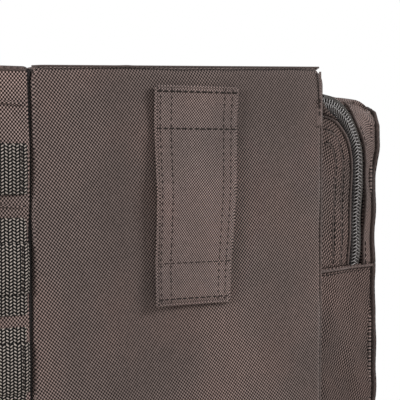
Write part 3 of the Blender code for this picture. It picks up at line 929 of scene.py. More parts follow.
class PACK_OT_tub(PackOperator, bpy.types.Operator):
    """The main compartment's padded shell with its seams, hems and base"""

    bl_idname = "pack.tub"
    bl_label = "Main Shell"

    def build(self, context):
        dent = context.scene.pack_fabric.dent / MM
        rings = rumple(tray(TUB_LOW, TUB_HIGH, Y, -1, 6, 5, 5.0, bulge=0.8), dent, 34, 3.0)
        shell = pad("main_shell", sag_top(rings), "fabric", "bag", "fabric", "main_tub")
        line_inside(shell)
        trim = Cut()
        edge_y, piping_y = -81.4, -80.6
        for x in (-1, 1):
            wavy = [(x * 150.5, edge_y + 0.3 * math.sin(z / 9), z) for z in spread(429, 458, 3)]
            front = along_z(16, 437, 6, x * 150.5, edge_y) if x > 0 else wavy
            trim.tube(front, 0.65, "smooth")
            tag = along_z(427.5, 438, 2, x * 150.6, piping_y)
            trim.ribbon(tag, (x, 0.2, 0), 3.2, 1.0, "smooth")
            row = [(x * 151.2, piping_y, z) for z in (433, 436.5, 440, 443.5)]
            trim.stitches(row, (x, 0, 0), size=0.8)
            hem = [
                (x * (149.4 - max(0, y - 74) ** 2 / 14), y, 459.6 - top_fall(y))
                for y in spread(-81, 80.5, 3)
            ]
            trim.tube(hem, 0.55, "binding", up=(1, 0, 0))
        for y in (-79, 72):
            trim.stitches(along_x(-140, 140, 8, y, 460.3 - top_fall(y)), TOP, sink=-0.3)
        trim.tube(along_x(-146, 146, 8, -81.4, 460.2), 0.8, "binding", up=TOP)
        trim.piece("main_shell_trim", "bag", "fabric")
        base = Cut()
        base.lathe_box(soft_rings((-140, -76, 0.4), (140, 120, 5.7), Z, 16, 2.2), "rubber")
        for y in np.arange(-66, 112, 12.0):
            base.tube(along_x(-128, 128, 12, y, 0.9), 0.9, "rubber", sides=6, up=TOP)
        base.piece("base_boot", "bag", "rubber", ("base_panel",))


def line_inside(obj):
    """Gives the faces that look into a shell the lining's finish."""
    mesh = obj.data
    mesh.materials.append(LOOKS["lining"])
    inner = len(mesh.materials) - 1
    for face in mesh.polygons:
        x, y, z = face.center / MM
        if abs(x) < 146.5 and 9.5 < z < 457.4 - top_fall(y) and y < 78.5:
            face.material_index = inner


class PACK_OT_sleeve(PackOperator, bpy.types.Operator):
    """The rear sleeve behind the main compartment, open at its top"""

    bl_idname = "pack.sleeve"
    bl_label = "Rear Sleeve"

    def build(self, context):
        dent = context.scene.pack_fabric.dent / MM
        rings = tray(SLEEVE_LOW, SLEEVE_HIGH, Z, 1, 1.8, 4, 3.0, step=9, bulge=0.4)
        rings = rumple(rings, dent * 0.8, 30, 8.0)
        pad("rear_sleeve_shell", rings, "sleeve", "bag", "fabric", "rear_sleeve")
        trim = Cut()
        ring = [(a, b + 104.2, 454.2) for a, b in outline(147.0, 20.2, 2, (4, 24))]
        trim.tube(ring, 1.5, "piping", loop=True, up=TOP)
        for sign in (-1, 1):
            for level, size in ((437.4, 0.8), (385.9, 0.7)):
                out = sign * (148.7 + size * 0.2)
                fold = [(out, y, level + 0.5 * math.sin(y / 5)) for y in spread(85.2, 119, 3)]
                trim.tube(fold, size, "sleeve", up=(1, 0, 0))
            # a near-black tube deep in the seam between sleeve and shell: painted shade, so the gap
            # reads dark
            trim.tube(along_z(8, 454.5, 12, sign * 145.6, 82.6), 1.6, "shadow")
        trim.piece("rear_sleeve_trim", "bag", "fabric")


WEBBING_PITCH = 50
# Where the webbing lies around the sleeve's side, from the front edge to the rear one.
SLEEVE_SIDE = (
    (147.0, 83.2), (148.6, 84.0), (149.5, 86.5), (149.9, 94),
    (149.9, 101), (149.8, 108), (149.3, 114.5), (148.0, 118.5),
)


def outwards(path, side):
    """Directions away from the pack's middle, square to a level path."""
    up = unit(np.cross(tangents(path), row_of(TOP)))
    return up * np.sign(up[:, :1] * side)


class PACK_OT_side_webbing(PackOperator, bpy.types.Operator):
    """Rows of webbing sewn to both sides of the rear sleeve"""

    bl_idname = "pack.side_webbing"
    bl_label = "Side Webbing"

    def build(self, context):
        for side, x in SIDES:
            cut = Cut()
            stations = [(x * out, y) for out, y in SLEEVE_SIDE]
            for k in range(6):
                z = 404.4 - WEBBING_PITCH * k
                path = resample([(px, py, z) for px, py in stations], 2.2)
                cut.ribbon(path, outwards(path, x), 25.6, 1.3, "webbing", crown=0.25)
                for y in (86.6, 113.2):
                    line = along_z(z - 11.5, z + 11.5, 2, x * 150.3, y)
                    cut.stitches(line, (x, 0, 0), sink=0.15)
            for low, high in ((331, 380), (281, 325), (231, 274.5), (181, 224.5), (133, 174.5)):
                path = resample([(px - x * 0.75, py, (low + high) / 2) for px, py in stations], 2.2)
                cut.ribbon(path, outwards(path, x), high - low, 0.9, "webbing")
            cut.piece(f"side_webbing_{side}", "bag", "webbing", (f"gusset_webbing_{side}",))


BAND_LOW, BAND_HIGH, BAND_REAR, BAND_FRONT = 332.6, 447.2, 16.5, -30.5


def band_bow(z):
    """How far the grab band stands off the side at a height."""
    end = 22.0
    if z < BAND_LOW + end or z > BAND_HIGH - end:
        return 1.6
    f = (z - BAND_LOW - end) / (BAND_HIGH - BAND_LOW - 2 * end)
    return 1.6 + 1.3 * math.sin(math.pi * f) ** 1.3


class PACK_OT_grab_bands(PackOperator, bpy.types.Operator):
    """Broad sewn bands on both sides, standing off the cloth between their ends"""

    bl_idname = "pack.grab_bands"
    bl_label = "Grab Bands"

    def build(self, context):
        for side, x in SIDES:
            cut = Cut()
            levels = spread(BAND_LOW, BAND_HIGH, 3.0)
            places = spread(BAND_FRONT, BAND_REAR, 3.0)

            def at(y, z, lift=0.0):
                across = (y - BAND_FRONT) / (BAND_REAR - BAND_FRONT)
                y += (1 - across) * 5.0 * (BAND_HIGH - z) / (BAND_HIGH - BAND_LOW)
                wave = 0.35 * math.sin(z / 9.0 + 2.5 * across) + 0.25 * math.sin(z / 4.1)
                out = band_bow(z) + 0.5 * math.sin(math.pi * across) + wave * 0.5
                out += 2.4 * across**3 * (1.2 - (z - BAND_LOW) / (BAND_HIGH - BAND_LOW))
                return (x * (150.4 + out + lift), y + 0.3 * math.sin(z / 13.0), z)

            grid = [[at(y, z) for z in levels] for y in places]
            cut.sheet(grid if x > 0 else grid[::-1], 1.8, "band")
            for y, size in ((BAND_REAR, 0.75), (BAND_FRONT, 0.7)):
                cut.tube([at(y, z, -0.55) for z in levels], size, "band", up=(1, 0, 0))
            for z in (BAND_HIGH, BAND_LOW):
                cut.tube([at(y, z, -0.55) for y in places], 0.8, "band", up=(1, 0, 0))
            rows = [[at(BAND_REAR - inset, z) for z in levels] for inset in (2.3, 8.6)]
            rows += [[at(BAND_FRONT + inset, z) for z in levels] for inset in (3.2, 7.7)]
            sewn = (BAND_HIGH - 2.4, BAND_HIGH - 21.9, BAND_LOW + 21.8, BAND_LOW + 2.9)
            rows += [[at(y, z) for y in places] for z in sewn]
            for row, size in zip(rows, (0.8, 0.8, 0.8, 0.8, 1.5, 1.3, 0.9, 1.1)):
                cut.stitches(row, (x, 0, 0), size=size, sink=0.15)
            band = cut.piece(f"grab_band_cloth_{side}", "bag", "band", (f"grab_band_{side}",))


# ---------------------------------------------------------------- front cover and pockets

POCKET_BACK, POCKET_HALF, LEAN = -85.9, 139.0, math.radians(25)
WALL_RUN = 50 / math.cos(LEAN)
MAIN_ZIP_Y = -84.1
UPPER_LOW, UPPER_SEAM, UPPER_TOP = 215.0, 345.0, 440.0
LOWER_LOW, LOWER_TOP = 22.0, 170.0
POCKET_CLOTH = 2.2


class Gusset:
    """A pocket's side-and-top wall, unrolled: t runs up the left side, over the top and down
    the right, and run is the distance from the pack."""

    def __init__(self, bottom, top, fixed, seed):
        self.bottom, self.top, self.fixed, self.seed = bottom, top, fixed, seed
        self.side = top - bottom - 4.0
        self.round = 6.3
        self.width = 2 * (POCKET_HALF - 4.0)
        self.total = 2 * (self.side + self.round) + self.width

    def facts(self, run):
        share = max(0.0, run) / WALL_RUN
        rise = 3.3 * math.sin(2.83 * min(1.0, share) ** 3.6)
        return POCKET_HALF - run * math.sin(LEAN), self.top - 5 * share + rise, 4 + 6.5 * share**1.5

    def swell(self, t, run):
        """How far the sewn cloth stands off its flat wall."""
        slow = noise.noise(Vector((t / 19 + self.seed, run / 12, self.seed)))
        quick = noise.noise(Vector((t / 7.5, run / 6.5, self.seed + 4)))
        return 1.25 * slow + 0.16 * quick

    def point(self, t, run, lift=0.0):
        lift += self.swell(t, run)
        mirror = t > self.total / 2
        t = self.total - t if mirror else t
        half, top, radius = self.facts(run)
        y = POCKET_BACK - run * math.cos(LEAN)
        out = Vector((-math.cos(LEAN), -math.sin(LEAN), 0))
        if t <= self.side:
            z = self.bottom + t
            if z > self.fixed:
                stretch = (top - radius - self.fixed) / (self.bottom + self.side - self.fixed)
                z = self.fixed + (z - self.fixed) * stretch
            place = Vector((-half, y, z))
        elif t <= self.side + self.round:
            a = (t - self.side) / self.round * math.pi / 2
            inset, drop = radius * (1 - math.cos(a)), radius * (1 - math.sin(a))
            place = Vector((-half + inset, y, top - drop))
            out = out * math.cos(a) + Vector((0, -0.09, 1)) * math.sin(a)
        else:
            share = (t - self.side - self.round) / (self.width / 2)
            place = Vector((-(half - radius) * (1 - share), y, top))
            out = Vector((0, -0.09, 1))
        out.normalize()
        place += out * lift
        if mirror:
            place.x, out.x = -place.x, -out.x
        return tuple(place), tuple(out)

    def at_height(self, z, run):
        """t on the left side for a height z."""
        if z <= self.fixed:
            return z - self.bottom
        _, top, radius = self.facts(run)
        end = top - radius
        if z <= end:
            squeeze = (self.bottom + self.side - self.fixed) / (end - self.fixed)
            return self.fixed - self.bottom + (z - self.fixed) * squeeze
        return self.side + self.round * math.asin(min(1, (z - end) / radius)) / (math.pi / 2)

    def lay(self, pairs, lift=0.0):
        """Points and outward directions for (t, run) pairs."""
        found = [self.point(t, run, lift) for t, run in pairs]
        return row_of([p for p, _ in found]), row_of([n for _, n in found])

    def grid(self, lines):
        """A grid of points from unrolled lines of equal count."""
        return np.array([[self.point(t, run)[0] for t, run in line] for line in lines])

    def flipped(self, line):
        """The same unrolled line on the right side."""
        return [(self.total - t, run) for t, run in line]


def beside(curve, distance):
    """A plane curve moved sideways."""
    curve = np.asarray(curve, float)
    along = unit(np.gradient(curve, axis=0))
    return curve + np.stack([along[:, 1], -along[:, 0]], 1) * distance


def arch_curve(gusset):
    """The upper pocket's zip, unrolled: up the left side, across the top, down the right."""
    bend = 402
    half = []
    for z in spread(345.6, bend, 3):
        half.append((gusset.at_height(z, 40), 41.2 - 3.0 * ((bend - z) / 57) ** 1.2))
    for a in np.radians(np.linspace(3, 86.5, 28)):
        run, z = 1.9 + 39.3 * math.cos(a), bend + 39.5 * math.sin(a)
        half.append((gusset.at_height(z, run), run))
    corner = gusset.side + gusset.round
    for t in spread(half[-1][0] + 2, gusset.total / 2, 4):
        half.append((t, 4.1 + 3.9 * min(1.0, max(0.0, (t - corner) / 16)) ** 0.8))
    curve = np.array(half + gusset.flipped(half[:-1])[::-1])
    run = distances(curve)
    at = spread(0, run[-1], 2.4)
    return np.stack([np.interp(at, run, curve[:, k]) for k in (0, 1)], 1)


def outline_run(side, top, bottom):
    """Up the left side, round the top corners and down the right, in (x, z)."""
    run = [(-side, z) for z in spread(bottom, top - 8, 6)]
    run += arc((-side + 8, top - 8), (8, 8), 172, 98, 6)
    run += [(x, top) for x in spread(-side + 9, side - 9, 6)]
    run += arc((side - 8, top - 8), (8, 8), 82, 8, 6)
    return run + [(side, z) for z in spread(top - 8, bottom, 6)]


class PACK_OT_main_zip(PackOperator, bpy.types.Operator):
    """The long zip around the front cover"""

    bl_idname = "pack.main_zip"
    bl_label = "Main Zip"

    def build(self, context):
        side, top, radius = 143.0, 456.0, 12.0
        inner, low = side - radius, top - radius
        run = [(-side, z) for z in spread(22, low, 6)]
        run += arc((-inner, low), (radius, radius), 180, 90, 8)[1:]
        run += [(x, top) for x in spread(-inner, inner, 6)[1:]]
        run += arc((inner, low), (radius, radius), 90, 0, 8)[1:]
        run += [(side, z) for z in spread(low, 22, 6)[1:]]
        path = [(x, MAIN_ZIP_Y, z) for x, z in run]
        for name, sign, width, body, node in (
            ("main_zip_outer", -1, 3.4, "bag", "main_zip_tub"),
            ("main_zip_inner", 1, 3.0, "cover", "main_zip_cover"),
        ):
            cut = zip_half(Cut(), path, FRONT, sign, width, 0.7)
            if sign < 0:
                rail = [(x, -82.8, z) for x, z in outline_run(148.3, 457.9, 24)]
                cut.tube(rail, 1.2, "piping", up=REAR)
            cut.piece(name, body, "coil", (node,))


class PACK_OT_front_cover(PackOperator, bpy.types.Operator):
    """The clamshell front, its bound edge, and the net pocket inside it"""

    bl_idname = "pack.front_cover"
    bl_label = "Front Cover"

    def build(self, context):
        dent = context.scene.pack_fabric.dent / MM
        rings = soft_rings((-139.6, -85.7, 12.4), (139.6, -82.4, 452.6), Y, 9, 1.5, step=12)
        rings = rumple(rings, dent * 0.4, 40, 5.0)
        pad("front_cover_panel", rings, "fabric", "cover", "fabric", "front_cover")
        trim = Cut()
        edge = hoop(137.6, 218.2, 8, (40, 26), (0, -85.9, 232.5))
        trim.tube(edge, 0.8, "binding", loop=True, up=REAR)
        inner = hoop(134.6, 215.2, 8, (40, 26), (0, -85.9, 232.5))
        trim.stitches(inner, FRONT)
        trim.piece("front_cover_trim", "cover", "fabric")
        net = Cut()
        places, levels = spread(-117, 117, 9), spread(63, 327, 9)
        grid = [
            [
                (x, -76.6 + 1.6 * (math.sin(x / 17.0) * math.sin(z / 40.0) + (z - 60) / 270), z)
                for z in levels
            ]
            for x in places
        ]
        net.sheet(grid, 0.9, "net")
        for x in (-118, 118):
            net.ribbon(along_z(60, 328, 8, x, -77.6), REAR, 8, 3.4, "binding")
        net.ribbon(along_x(-120, 120, 8, -77.9, 62), REAR, 8, 3.2, "binding")
        net.ribbon(along_x(-120, 120, 6, -75.6, 325), REAR, 12, 2.2, "binding")
        net.ribbon(along_z(62, 325, 8, 0, -76.8), REAR, 7, 2.0, "binding")
        for z in (322, 328.6):
            net.stitches(along_x(-117, 117, 8, -74.4, z), REAR)
        pocket = net.piece("cover_net_pocket", "cover", "mesh", ("cover_mesh_pocket",))


def wall_sheet(cut, gusset, near, far, look, across=None):
    """A sewn part of a pocket's wall between two unrolled curves."""
    near, far = np.asarray(near, float), np.asarray(far, float)
    if across is None:
        across = max(3, int(np.linalg.norm(far - near, axis=1).max() / 3.5) + 1)
    lines = [near + (far - near) * f for f in np.linspace(0, 1, across)]
    cut.sheet(gusset.grid(lines), POCKET_CLOTH, look, cloth=np.concatenate(lines)[:, ::-1])


def pocket_floor(cut, level):
    """The bottom of a pocket, wider away from the pack."""
    grid = []
    for y in spread(-86, -134.4, 6):
        half = POCKET_HALF + (y - POCKET_BACK) * math.tan(LEAN)
        grid.append([(half * f, y, level) for f in np.linspace(-1, 1, 25)])
    cut.sheet(grid, POCKET_CLOTH, "fabric")


def lid_edge(gusset, ts):
    """How far from the pack the lid's bound edge stands, fullest at its upper corners."""
    ts = np.minimum(np.asarray(ts, float), gusset.total - np.asarray(ts, float))
    corner = gusset.side + gusset.round
    return WALL_RUN + 1.4 + 5.2 * np.exp(-(((ts - corner) / 48.0) ** 2))


def bucket_edge(t):
    """How far from the pack the upper pocket's bound edge stands below its seam."""
    return WALL_RUN + 1.4 + 3.0 * math.sin(t / 130 * math.pi) ** 2


def panel_half(z, top, bottom, upper=12.0, lower=5.0):
    """Half the width of a pocket's front at a height, with its corners rounded."""
    inset = 0.0
    if z > top - upper:
        inset = upper - math.sqrt(max(0.0, upper**2 - (z - top + upper) ** 2))
    if z < bottom + lower:
        inset = lower - math.sqrt(max(0.0, lower**2 - (bottom + lower - z) ** 2))
    return POCKET_HALF - WALL_RUN * math.sin(LEAN) - inset


def front_panel(cut, z_low, z_high, top, bottom, crown=1.6, seed=0.0):
    """A pocket's flat front between two heights."""
    grid = []
    for z in spread(z_low, z_high, 5):
        half = panel_half(z, top, bottom)
        full = math.sqrt(max(0.0, min(1, (z - bottom) / 40, (top - z) / 25)))
        line = []
        for f in np.linspace(-1, 1, 41):
            x, rise = half * f, crown * math.sqrt(max(0.0, 1 - f**4)) * full
            wave = 0.7 * noise.noise(Vector((x / 34 + seed, z / 40, seed)))
            line.append((x, -134.8 - rise * 0.35 - wave * min(0.6, rise), z))
        grid.append(line)
    cut.sheet(grid, 2.4, "fabric", cloth=np.array(grid)[:, :, [0, 2]].reshape(-1, 2))


class PACK_OT_upper_pocket(PackOperator, bpy.types.Operator):
    """The upper front pocket: bucket, arched zip, and the flap that opens from its middle seam"""

    bl_idname = "pack.upper_pocket"
    bl_label = "Upper Pocket"

    def build(self, context):
        gusset = Gusset(UPPER_LOW, UPPER_TOP + 5, 400.0, 1.7)
        curve = arch_curve(gusset)
        bucket, flap = Cut(), Cut()
        base = np.stack([curve[:, 0], np.zeros(len(curve))], 1)
        inner, outer = beside(curve, 6.6), beside(curve, -8.0)
        inner[:, 1] = np.maximum(inner[:, 1], 2.4)
        rim = np.stack([curve[:, 0], lid_edge(gusset, curve[:, 0]) - 0.5], 1)
        drop = np.clip((np.minimum(curve[:, 0], gusset.total - curve[:, 0]) - 205) / 12, 0, 1)
        base[:, 1] = 3.2 * drop * np.where(inner[:, 1] > 6, 1, 0)
        wall_sheet(bucket, gusset, base, inner, "gusset")
        wall_sheet(flap, gusset, outer, rim, "fabric")
        seam = gusset.at_height(344.6, 0)
        side = [(t, 0.0) for t in spread(2, seam + 0.8, 5)]
        edge = [(t, bucket_edge(t) - 0.7) for t, _ in side]
        wall_sheet(bucket, gusset, side, edge, "gusset", across=16)
        side, edge = gusset.flipped(side)[::-1], gusset.flipped(edge)[::-1]
        wall_sheet(bucket, gusset, side, edge, "gusset", across=16)
        pocket_floor(bucket, UPPER_LOW + 1.6)
        half_gap = 0.4
        low, high = (UPPER_LOW + 1, UPPER_SEAM - half_gap), (UPPER_SEAM + half_gap, UPPER_TOP)
        front_panel(bucket, *low, UPPER_TOP, UPPER_LOW, seed=6.0)
        front_panel(flap, *high, UPPER_TOP, UPPER_LOW, seed=7.0)
        # trim that follows the zip
        for distance in (14.8, 22.4):
            self.rows(bucket, gusset, beside(curve, distance), 0.9, lowest=2.0)
            self.piping(bucket, gusset, beside(curve, distance + 1.0), 0.8, -0.45, lowest=4.0)
        self.rows(flap, gusset, beside(curve, -11.0), 0.75)
        self.piping(bucket, gusset, beside(curve, 7.2), 1.0, 0.25, lowest=3.0)
        self.piping(flap, gusset, beside(curve, -8.6), 1.0, 0.25)
        # bound front edge and seams
        edge = [(t, bucket_edge(t)) for t in spread(4, seam + 0.5, 5)]
        self.edge(bucket, gusset, edge)
        self.edge(bucket, gusset, gusset.flipped(edge))
        edge = spread(seam + 0.7, gusset.total - seam - 0.7, 3)
        self.edge(flap, gusset, np.stack([edge, lid_edge(gusset, edge)], 1))
        cross = [(seam - 0.6, r) for r in spread(1.0, WALL_RUN + 1, 3)]
        for line, below in ((cross, 2.4), (gusset.flipped(cross), -2.4)):
            bucket.tube(gusset.lay(line, 0.6)[0], 0.85, "piping")
            bucket.stitches(*gusset.lay([(t - below, r) for t, r in line], 0.25), size=0.7)
        seam_row = along_x(-112, 112, 8, -136.6, UPPER_SEAM - 2.8)
        bucket.stitches(seam_row, FRONT)
        bucket.tube(along_x(-114, 114, 8, -136.2, UPPER_SEAM), 0.8, "binding", up=TOP)
        flap.stitches(along_x(-112, 112, 8, -136.7, UPPER_SEAM + 3.4), FRONT)
        bucket.piece("upper_pocket_body", "cover", "fabric", ("upper_pocket_bucket",))
        flap.piece("upper_pocket_lid", "upper_flap", "fabric", ("upper_pocket_flap",))
        points, ups = gusset.lay(curve, 0.0)
        for place, side, width, under, body in (
            ("inner", -1, 4.4, 5.8, ("cover", "bucket")),
            ("outer", 1, 6.4, -7.6, ("upper_flap", "flap")),
        ):
            chain = zip_half(Cut(), points, ups, side, width)
            # a near-black ribbon sunk beside each zip half: painted shade in the groove next to the
            # coil
            chain.ribbon(*gusset.lay(beside(curve, under), -3.6), 5.0, 0.8, "shadow")
            chain.piece(f"upper_zip_{place}", body[0], "coil", (f"upper_zip_{body[1]}",))
        rings = soft_rings((-60, -138.3, 362), (60, -136.0, 412), Y, 3, 1.0, step=10)
        patch = Cut().lathe_box(rings, "loop")
        ring = hoop(57.6, 22.6, 2, (6, 14), (0, -138.2, 387))
        patch.stitches(ring + ring[:1], FRONT)
        patch.piece("id_loop_field", "upper_flap", "loop", ("id_loop_panel",))

    def stretches(self, line, kept):
        """The unbroken stretches of an unrolled line whose points are kept."""
        keep = []
        for t, run in [*line, (0, -99)]:
            if kept(t, run):
                keep.append((t, run))
                continue
            if len(keep) > 3:
                yield keep
            keep = []

    def rows(self, cut, gusset, line, size, lowest=0.5):
        """A row of stitches along an unrolled line, where it stays on the wall."""

        def on_wall(t, run):
            past_corner = min(t, gusset.total - t) - gusset.side
            return lowest < run < WALL_RUN - 5 and not -6 < past_corner < 20

        for keep in self.stretches(line, on_wall):
            cut.stitches(*gusset.lay(keep, 0.25), size=size)

    def piping(self, cut, gusset, line, radius, lift, lowest=0.0):
        """A piped seam along an unrolled line, above its lowest run."""
        for keep in self.stretches(line, lambda t, run: run > lowest):
            cut.tube(gusset.lay(keep, lift)[0], radius, "piping")

    def edge(self, cut, gusset, line):
        """The bound front edge: a rolled binding, and a row of stitches along it."""
        points, ups = gusset.lay(line, 0.5)
        cut.tube(points, 1.75, "binding")
        cut.stitches(points + ups * 1.6, ups, size=0.7)


class PACK_OT_lower_pocket(PackOperator, bpy.types.Operator):
    """The lower front pocket with its straight zip and webbing panel"""

    bl_idname = "pack.lower_pocket"
    bl_label = "Lower Pocket"

    def build(self, context):
        gusset = Gusset(LOWER_LOW, LOWER_TOP + 5, 150.0, 5.2)
        whole = spread(2, gusset.total - 2, 4)
        end = gusset.side + gusset.round + 12
        top = spread(end, gusset.total - end, 6)
        cut = Cut()

        def level(ts, run):
            return [(t, run) for t in ts]

        rim = WALL_RUN - 0.6
        for ts in (spread(2, end, 4), spread(gusset.total - end, gusset.total - 2, 4)):
            wall_sheet(cut, gusset, level(ts, 0.0), level(ts, rim), "gusset", across=16)
        wall_sheet(cut, gusset, level(top, 0.0), level(top, 4.0), "fabric")
        wall_sheet(cut, gusset, level(top, 12.2), level(top, rim), "fabric")
        pocket_floor(cut, LOWER_LOW + 1.6)
        front_panel(cut, LOWER_LOW + 1, LOWER_TOP, LOWER_TOP, LOWER_LOW, crown=2.0, seed=14.0)
        cut.tube(gusset.lay(level(whole, WALL_RUN - 0.4), 0.7)[0], 1.7, "binding")
        cut.stitches(*gusset.lay(level(whole, WALL_RUN - 3.5), 0.25), size=0.9)
        for run in (3.2, 14.6):
            cut.stitches(*gusset.lay(level(top, run), 0.25))
        cut.piece("lower_pocket_body", "cover", "fabric", ("lower_pocket",))
        points, ups = gusset.lay(level(top, 8.0), 0.1)
        both = zip_half(zip_half(Cut(), points, ups, 1, 4.0), points, ups, -1, 4.0)
        both.piece("lower_zip_chain", "cover", "coil", ("lower_zip",))
        panel = Cut()
        grid = [along_z(41, 139, 7, x, -136.9) for x in spread(-84, 84, 7)]
        panel.sheet(grid, 0.8, "smooth")
        for z in (62.7, 112.7):
            path = along_x(-84, 84, 2.5, -137.9, z)
            panel.ribbon(path, FRONT, 25.2, 1.3, "webbing", crown=0.2)
            for x in np.arange(-82, 83, 32.8):
                panel.stitches(along_z(z - 11.5, z + 11.5, 2, x, -138.7), FRONT, size=1.2)
        panel.piece("front_webbing_panel", "cover", "webbing", ("front_webbing",))


# ---------------------------------------------------------------- sliders


def plate(points, thick, bevel=0.35):
    """Rings of a plate from its outline in (x, y), with softened edges."""
    points = np.asarray(points, float)
    centre = points.mean(0)
    rings = []
    lower = [(0.5, 0.0), (0.06, 0.0), (0.0, bevel)]
    upper = [(0.0, thick - bevel), (0.06, thick), (0.5, thick)]
    for inset, z in lower + upper:
        flat = points + (centre - points) * inset
        rings.append(np.concatenate([flat, np.full((len(flat), 1), z)], 1))
    return np.array(rings)


def set_rings(rings, origin, x_axis, z_axis):
    """Places rings given along x and up z at an origin."""
    x, z = np.array(x_axis, float), np.array(z_axis, float)
    y = np.cross(z, x)
    rings = np.asarray(rings, float)
    return np.array(origin, float) + rings[..., :1] * x + rings[..., 1:2] * y + rings[..., 2:] * z


def box_mm(node):
    """The middle and the size of a CAD node's box in millimetres."""
    low, high = (np.array(corner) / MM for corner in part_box(node))
    return (low + high) / 2, high - low


def both_edges(edge):
    """A symmetrical outline from the edge on its right."""
    return edge + [(x, -y) for x, y in reversed(edge)]


class PACK_OT_sliders(PackOperator, bpy.types.Operator):
    """The zip sliders and their cord-and-grip pull tabs"""

    bl_idname = "pack.sliders"
    bl_label = "Zip Sliders"

    def build(self, context):
        out = (0.0, -1.0, 0.0)
        for side, sign in SIDES:
            self.slider(f"main_slider_{side}", f"main_pull_tab_{side}", sign, out)
            self.slider(f"upper_slider_{side}", f"upper_pull_tab_{side}", sign, (0.0, 0.0, 1.0))
        self.slider("lower_slider", "lower_pull_tab", -1, (0.0, 0.0, 1.0))

    def slider(self, slider, tab, away, out):
        """One slider body with its bridge, and its grip."""
        middle, size = box_mm(slider)
        normal, along = np.array(out), np.array([away, 0.0, 0.0])
        across = np.cross(normal, along)
        tall, wide = abs(np.dot(size, normal)), abs(np.dot(size, across))
        base, half = middle - normal * tall / 2, size[0] / 2
        body = Cut()
        shape = both_edges([
            (-half, -wide * 0.3), (-half * 0.5, -wide * 0.36),
            (half * 0.35, -wide / 2), (half, -wide * 0.46),
        ])
        rings = plate(shape, tall * 0.42, 0.3)
        body.lathe_box(set_rings(rings, base, along, normal), "slider")
        crown = plate([(x * 0.86, y * 0.8) for x, y in shape], tall * 0.3, 0.25)
        body.lathe_box(set_rings(crown, base + normal * tall * 0.42, along, normal), "slider")
        arch = ((-0.8, 0.6), (-0.7, 0.85), (0, 0.93), (0.6, 0.9), (0.8, 0.6))
        bridge = [base + along * half * t + normal * tall * h for t, h in arch]
        body.ribbon(resample(bridge, 0.8), normal, 1.9, 0.5, "slider")
        body.piece(slider + "_body", slider, "slider", (slider,), sharp=40)
        middle, size = box_mm(tab)
        reach = size[0] / 2
        pull = Cut()
        flat = both_edges([
            (-reach, -1.1), (-reach + 2.5, -1.8), (-reach + 6, -2.0),
            (-reach + 9, -2.9), (reach - 2, -3.0), (reach, -1.8),
        ])
        start = middle - normal * 0.75
        pull.lathe_box(set_rings(plate(flat, 1.5, 0.4), start, along, normal), "plastic")
        for t in np.arange(-2.0, reach - 2.5, 2.1):
            rib = [start + along * t + across * s + normal * 1.45 for s in spread(-2.2, 2.2, 1.1)]
            pull.tube(rib, 0.35, "plastic", sides=6, up=out)
        centre = start + along * (-reach + 3.4) + normal * 1.5
        turns = np.linspace(0, math.tau, 14)[:-1]
        eye = [centre + along * 1.3 * math.cos(a) + across * math.sin(a) for a in turns]
        pull.tube(eye, 0.28, "slider", loop=True, sides=6, up=out)
        pull.piece(tab + "_grip", tab, "plastic", (tab,), sharp=45)


# ---------------------------------------------------------------- padding


def inflate(obj, cap, voxel=0.005, pressure=4.0, frames=20):
    """Fills a padded piece with air as cloth, no further than cap from where it lay."""
    scene = bpy.context.scene
    materials = list(obj.data.materials)
    mesh = obj.data
    bpy.context.view_layer.objects.active = obj
    remesh = obj.modifiers.new("remesh", "REMESH")
    remesh.mode, remesh.voxel_size = "VOXEL", voxel
    start = settled(obj)
    obj.modifiers.clear()
    obj.data = start
    before = np.zeros(len(start.vertices) * 3)
    start.vertices.foreach_get("co", before)
    cloth = obj.modifiers.new("cloth", "CLOTH")
    cloth.settings.use_pressure = True
    cloth.settings.uniform_pressure_force = pressure
    cloth.settings.effector_weights.gravity = 0.0
    cloth.settings.quality = 4
    cloth.settings.tension_stiffness = 18
    cloth.settings.bending_stiffness = 2.0
    cloth.point_cache.frame_start, cloth.point_cache.frame_end = 1, frames
    for frame_number in range(1, frames + 1):
        scene.frame_set(frame_number)
    swollen = settled(obj)
    obj.modifiers.clear()
    after = np.zeros(len(swollen.vertices) * 3)
    swollen.vertices.foreach_get("co", after)
    scene.frame_set(1)
    move = (after - before).reshape(-1, 3)
    size = np.linalg.norm(move, axis=1, keepdims=True)
    move *= np.minimum(1.0, cap / np.maximum(size, 1e-9))
    swollen.vertices.foreach_set("co", (before.reshape(-1, 3) + move).ravel())
    swollen.materials.clear()
    for material in materials:
        swollen.materials.append(material)
    swollen.polygons.foreach_set("use_smooth", [True] * len(swollen.polygons))
    obj.data = swollen
    bpy.data.meshes.remove(mesh)
    smooth = obj.modifiers.new("soften", "CORRECTIVE_SMOOTH")
    smooth.factor, smooth.iterations, smooth.use_only_smooth = 0.5, 4, True
    obj.data = settled(obj)
    obj.modifiers.clear()
    lay_cloth(obj.data)
    return obj


def settled(obj):
    """A mesh of the object as its modifiers leave it."""
    bpy.context.view_layer.update()
    graph = bpy.context.evaluated_depsgraph_get()
    return bpy.data.meshes.new_from_object(obj.evaluated_get(graph), depsgraph=graph)


def pad(name, rings, look, body, slot, node, cap=0.0):
    """A padded piece for one CAD node: its soft shape, filled with air where cap allows."""
    obj = Cut().lathe_box(rings, look).piece(name, body, slot, (node,))
    if cap:
        inflate(obj, cap * MM)
    return obj


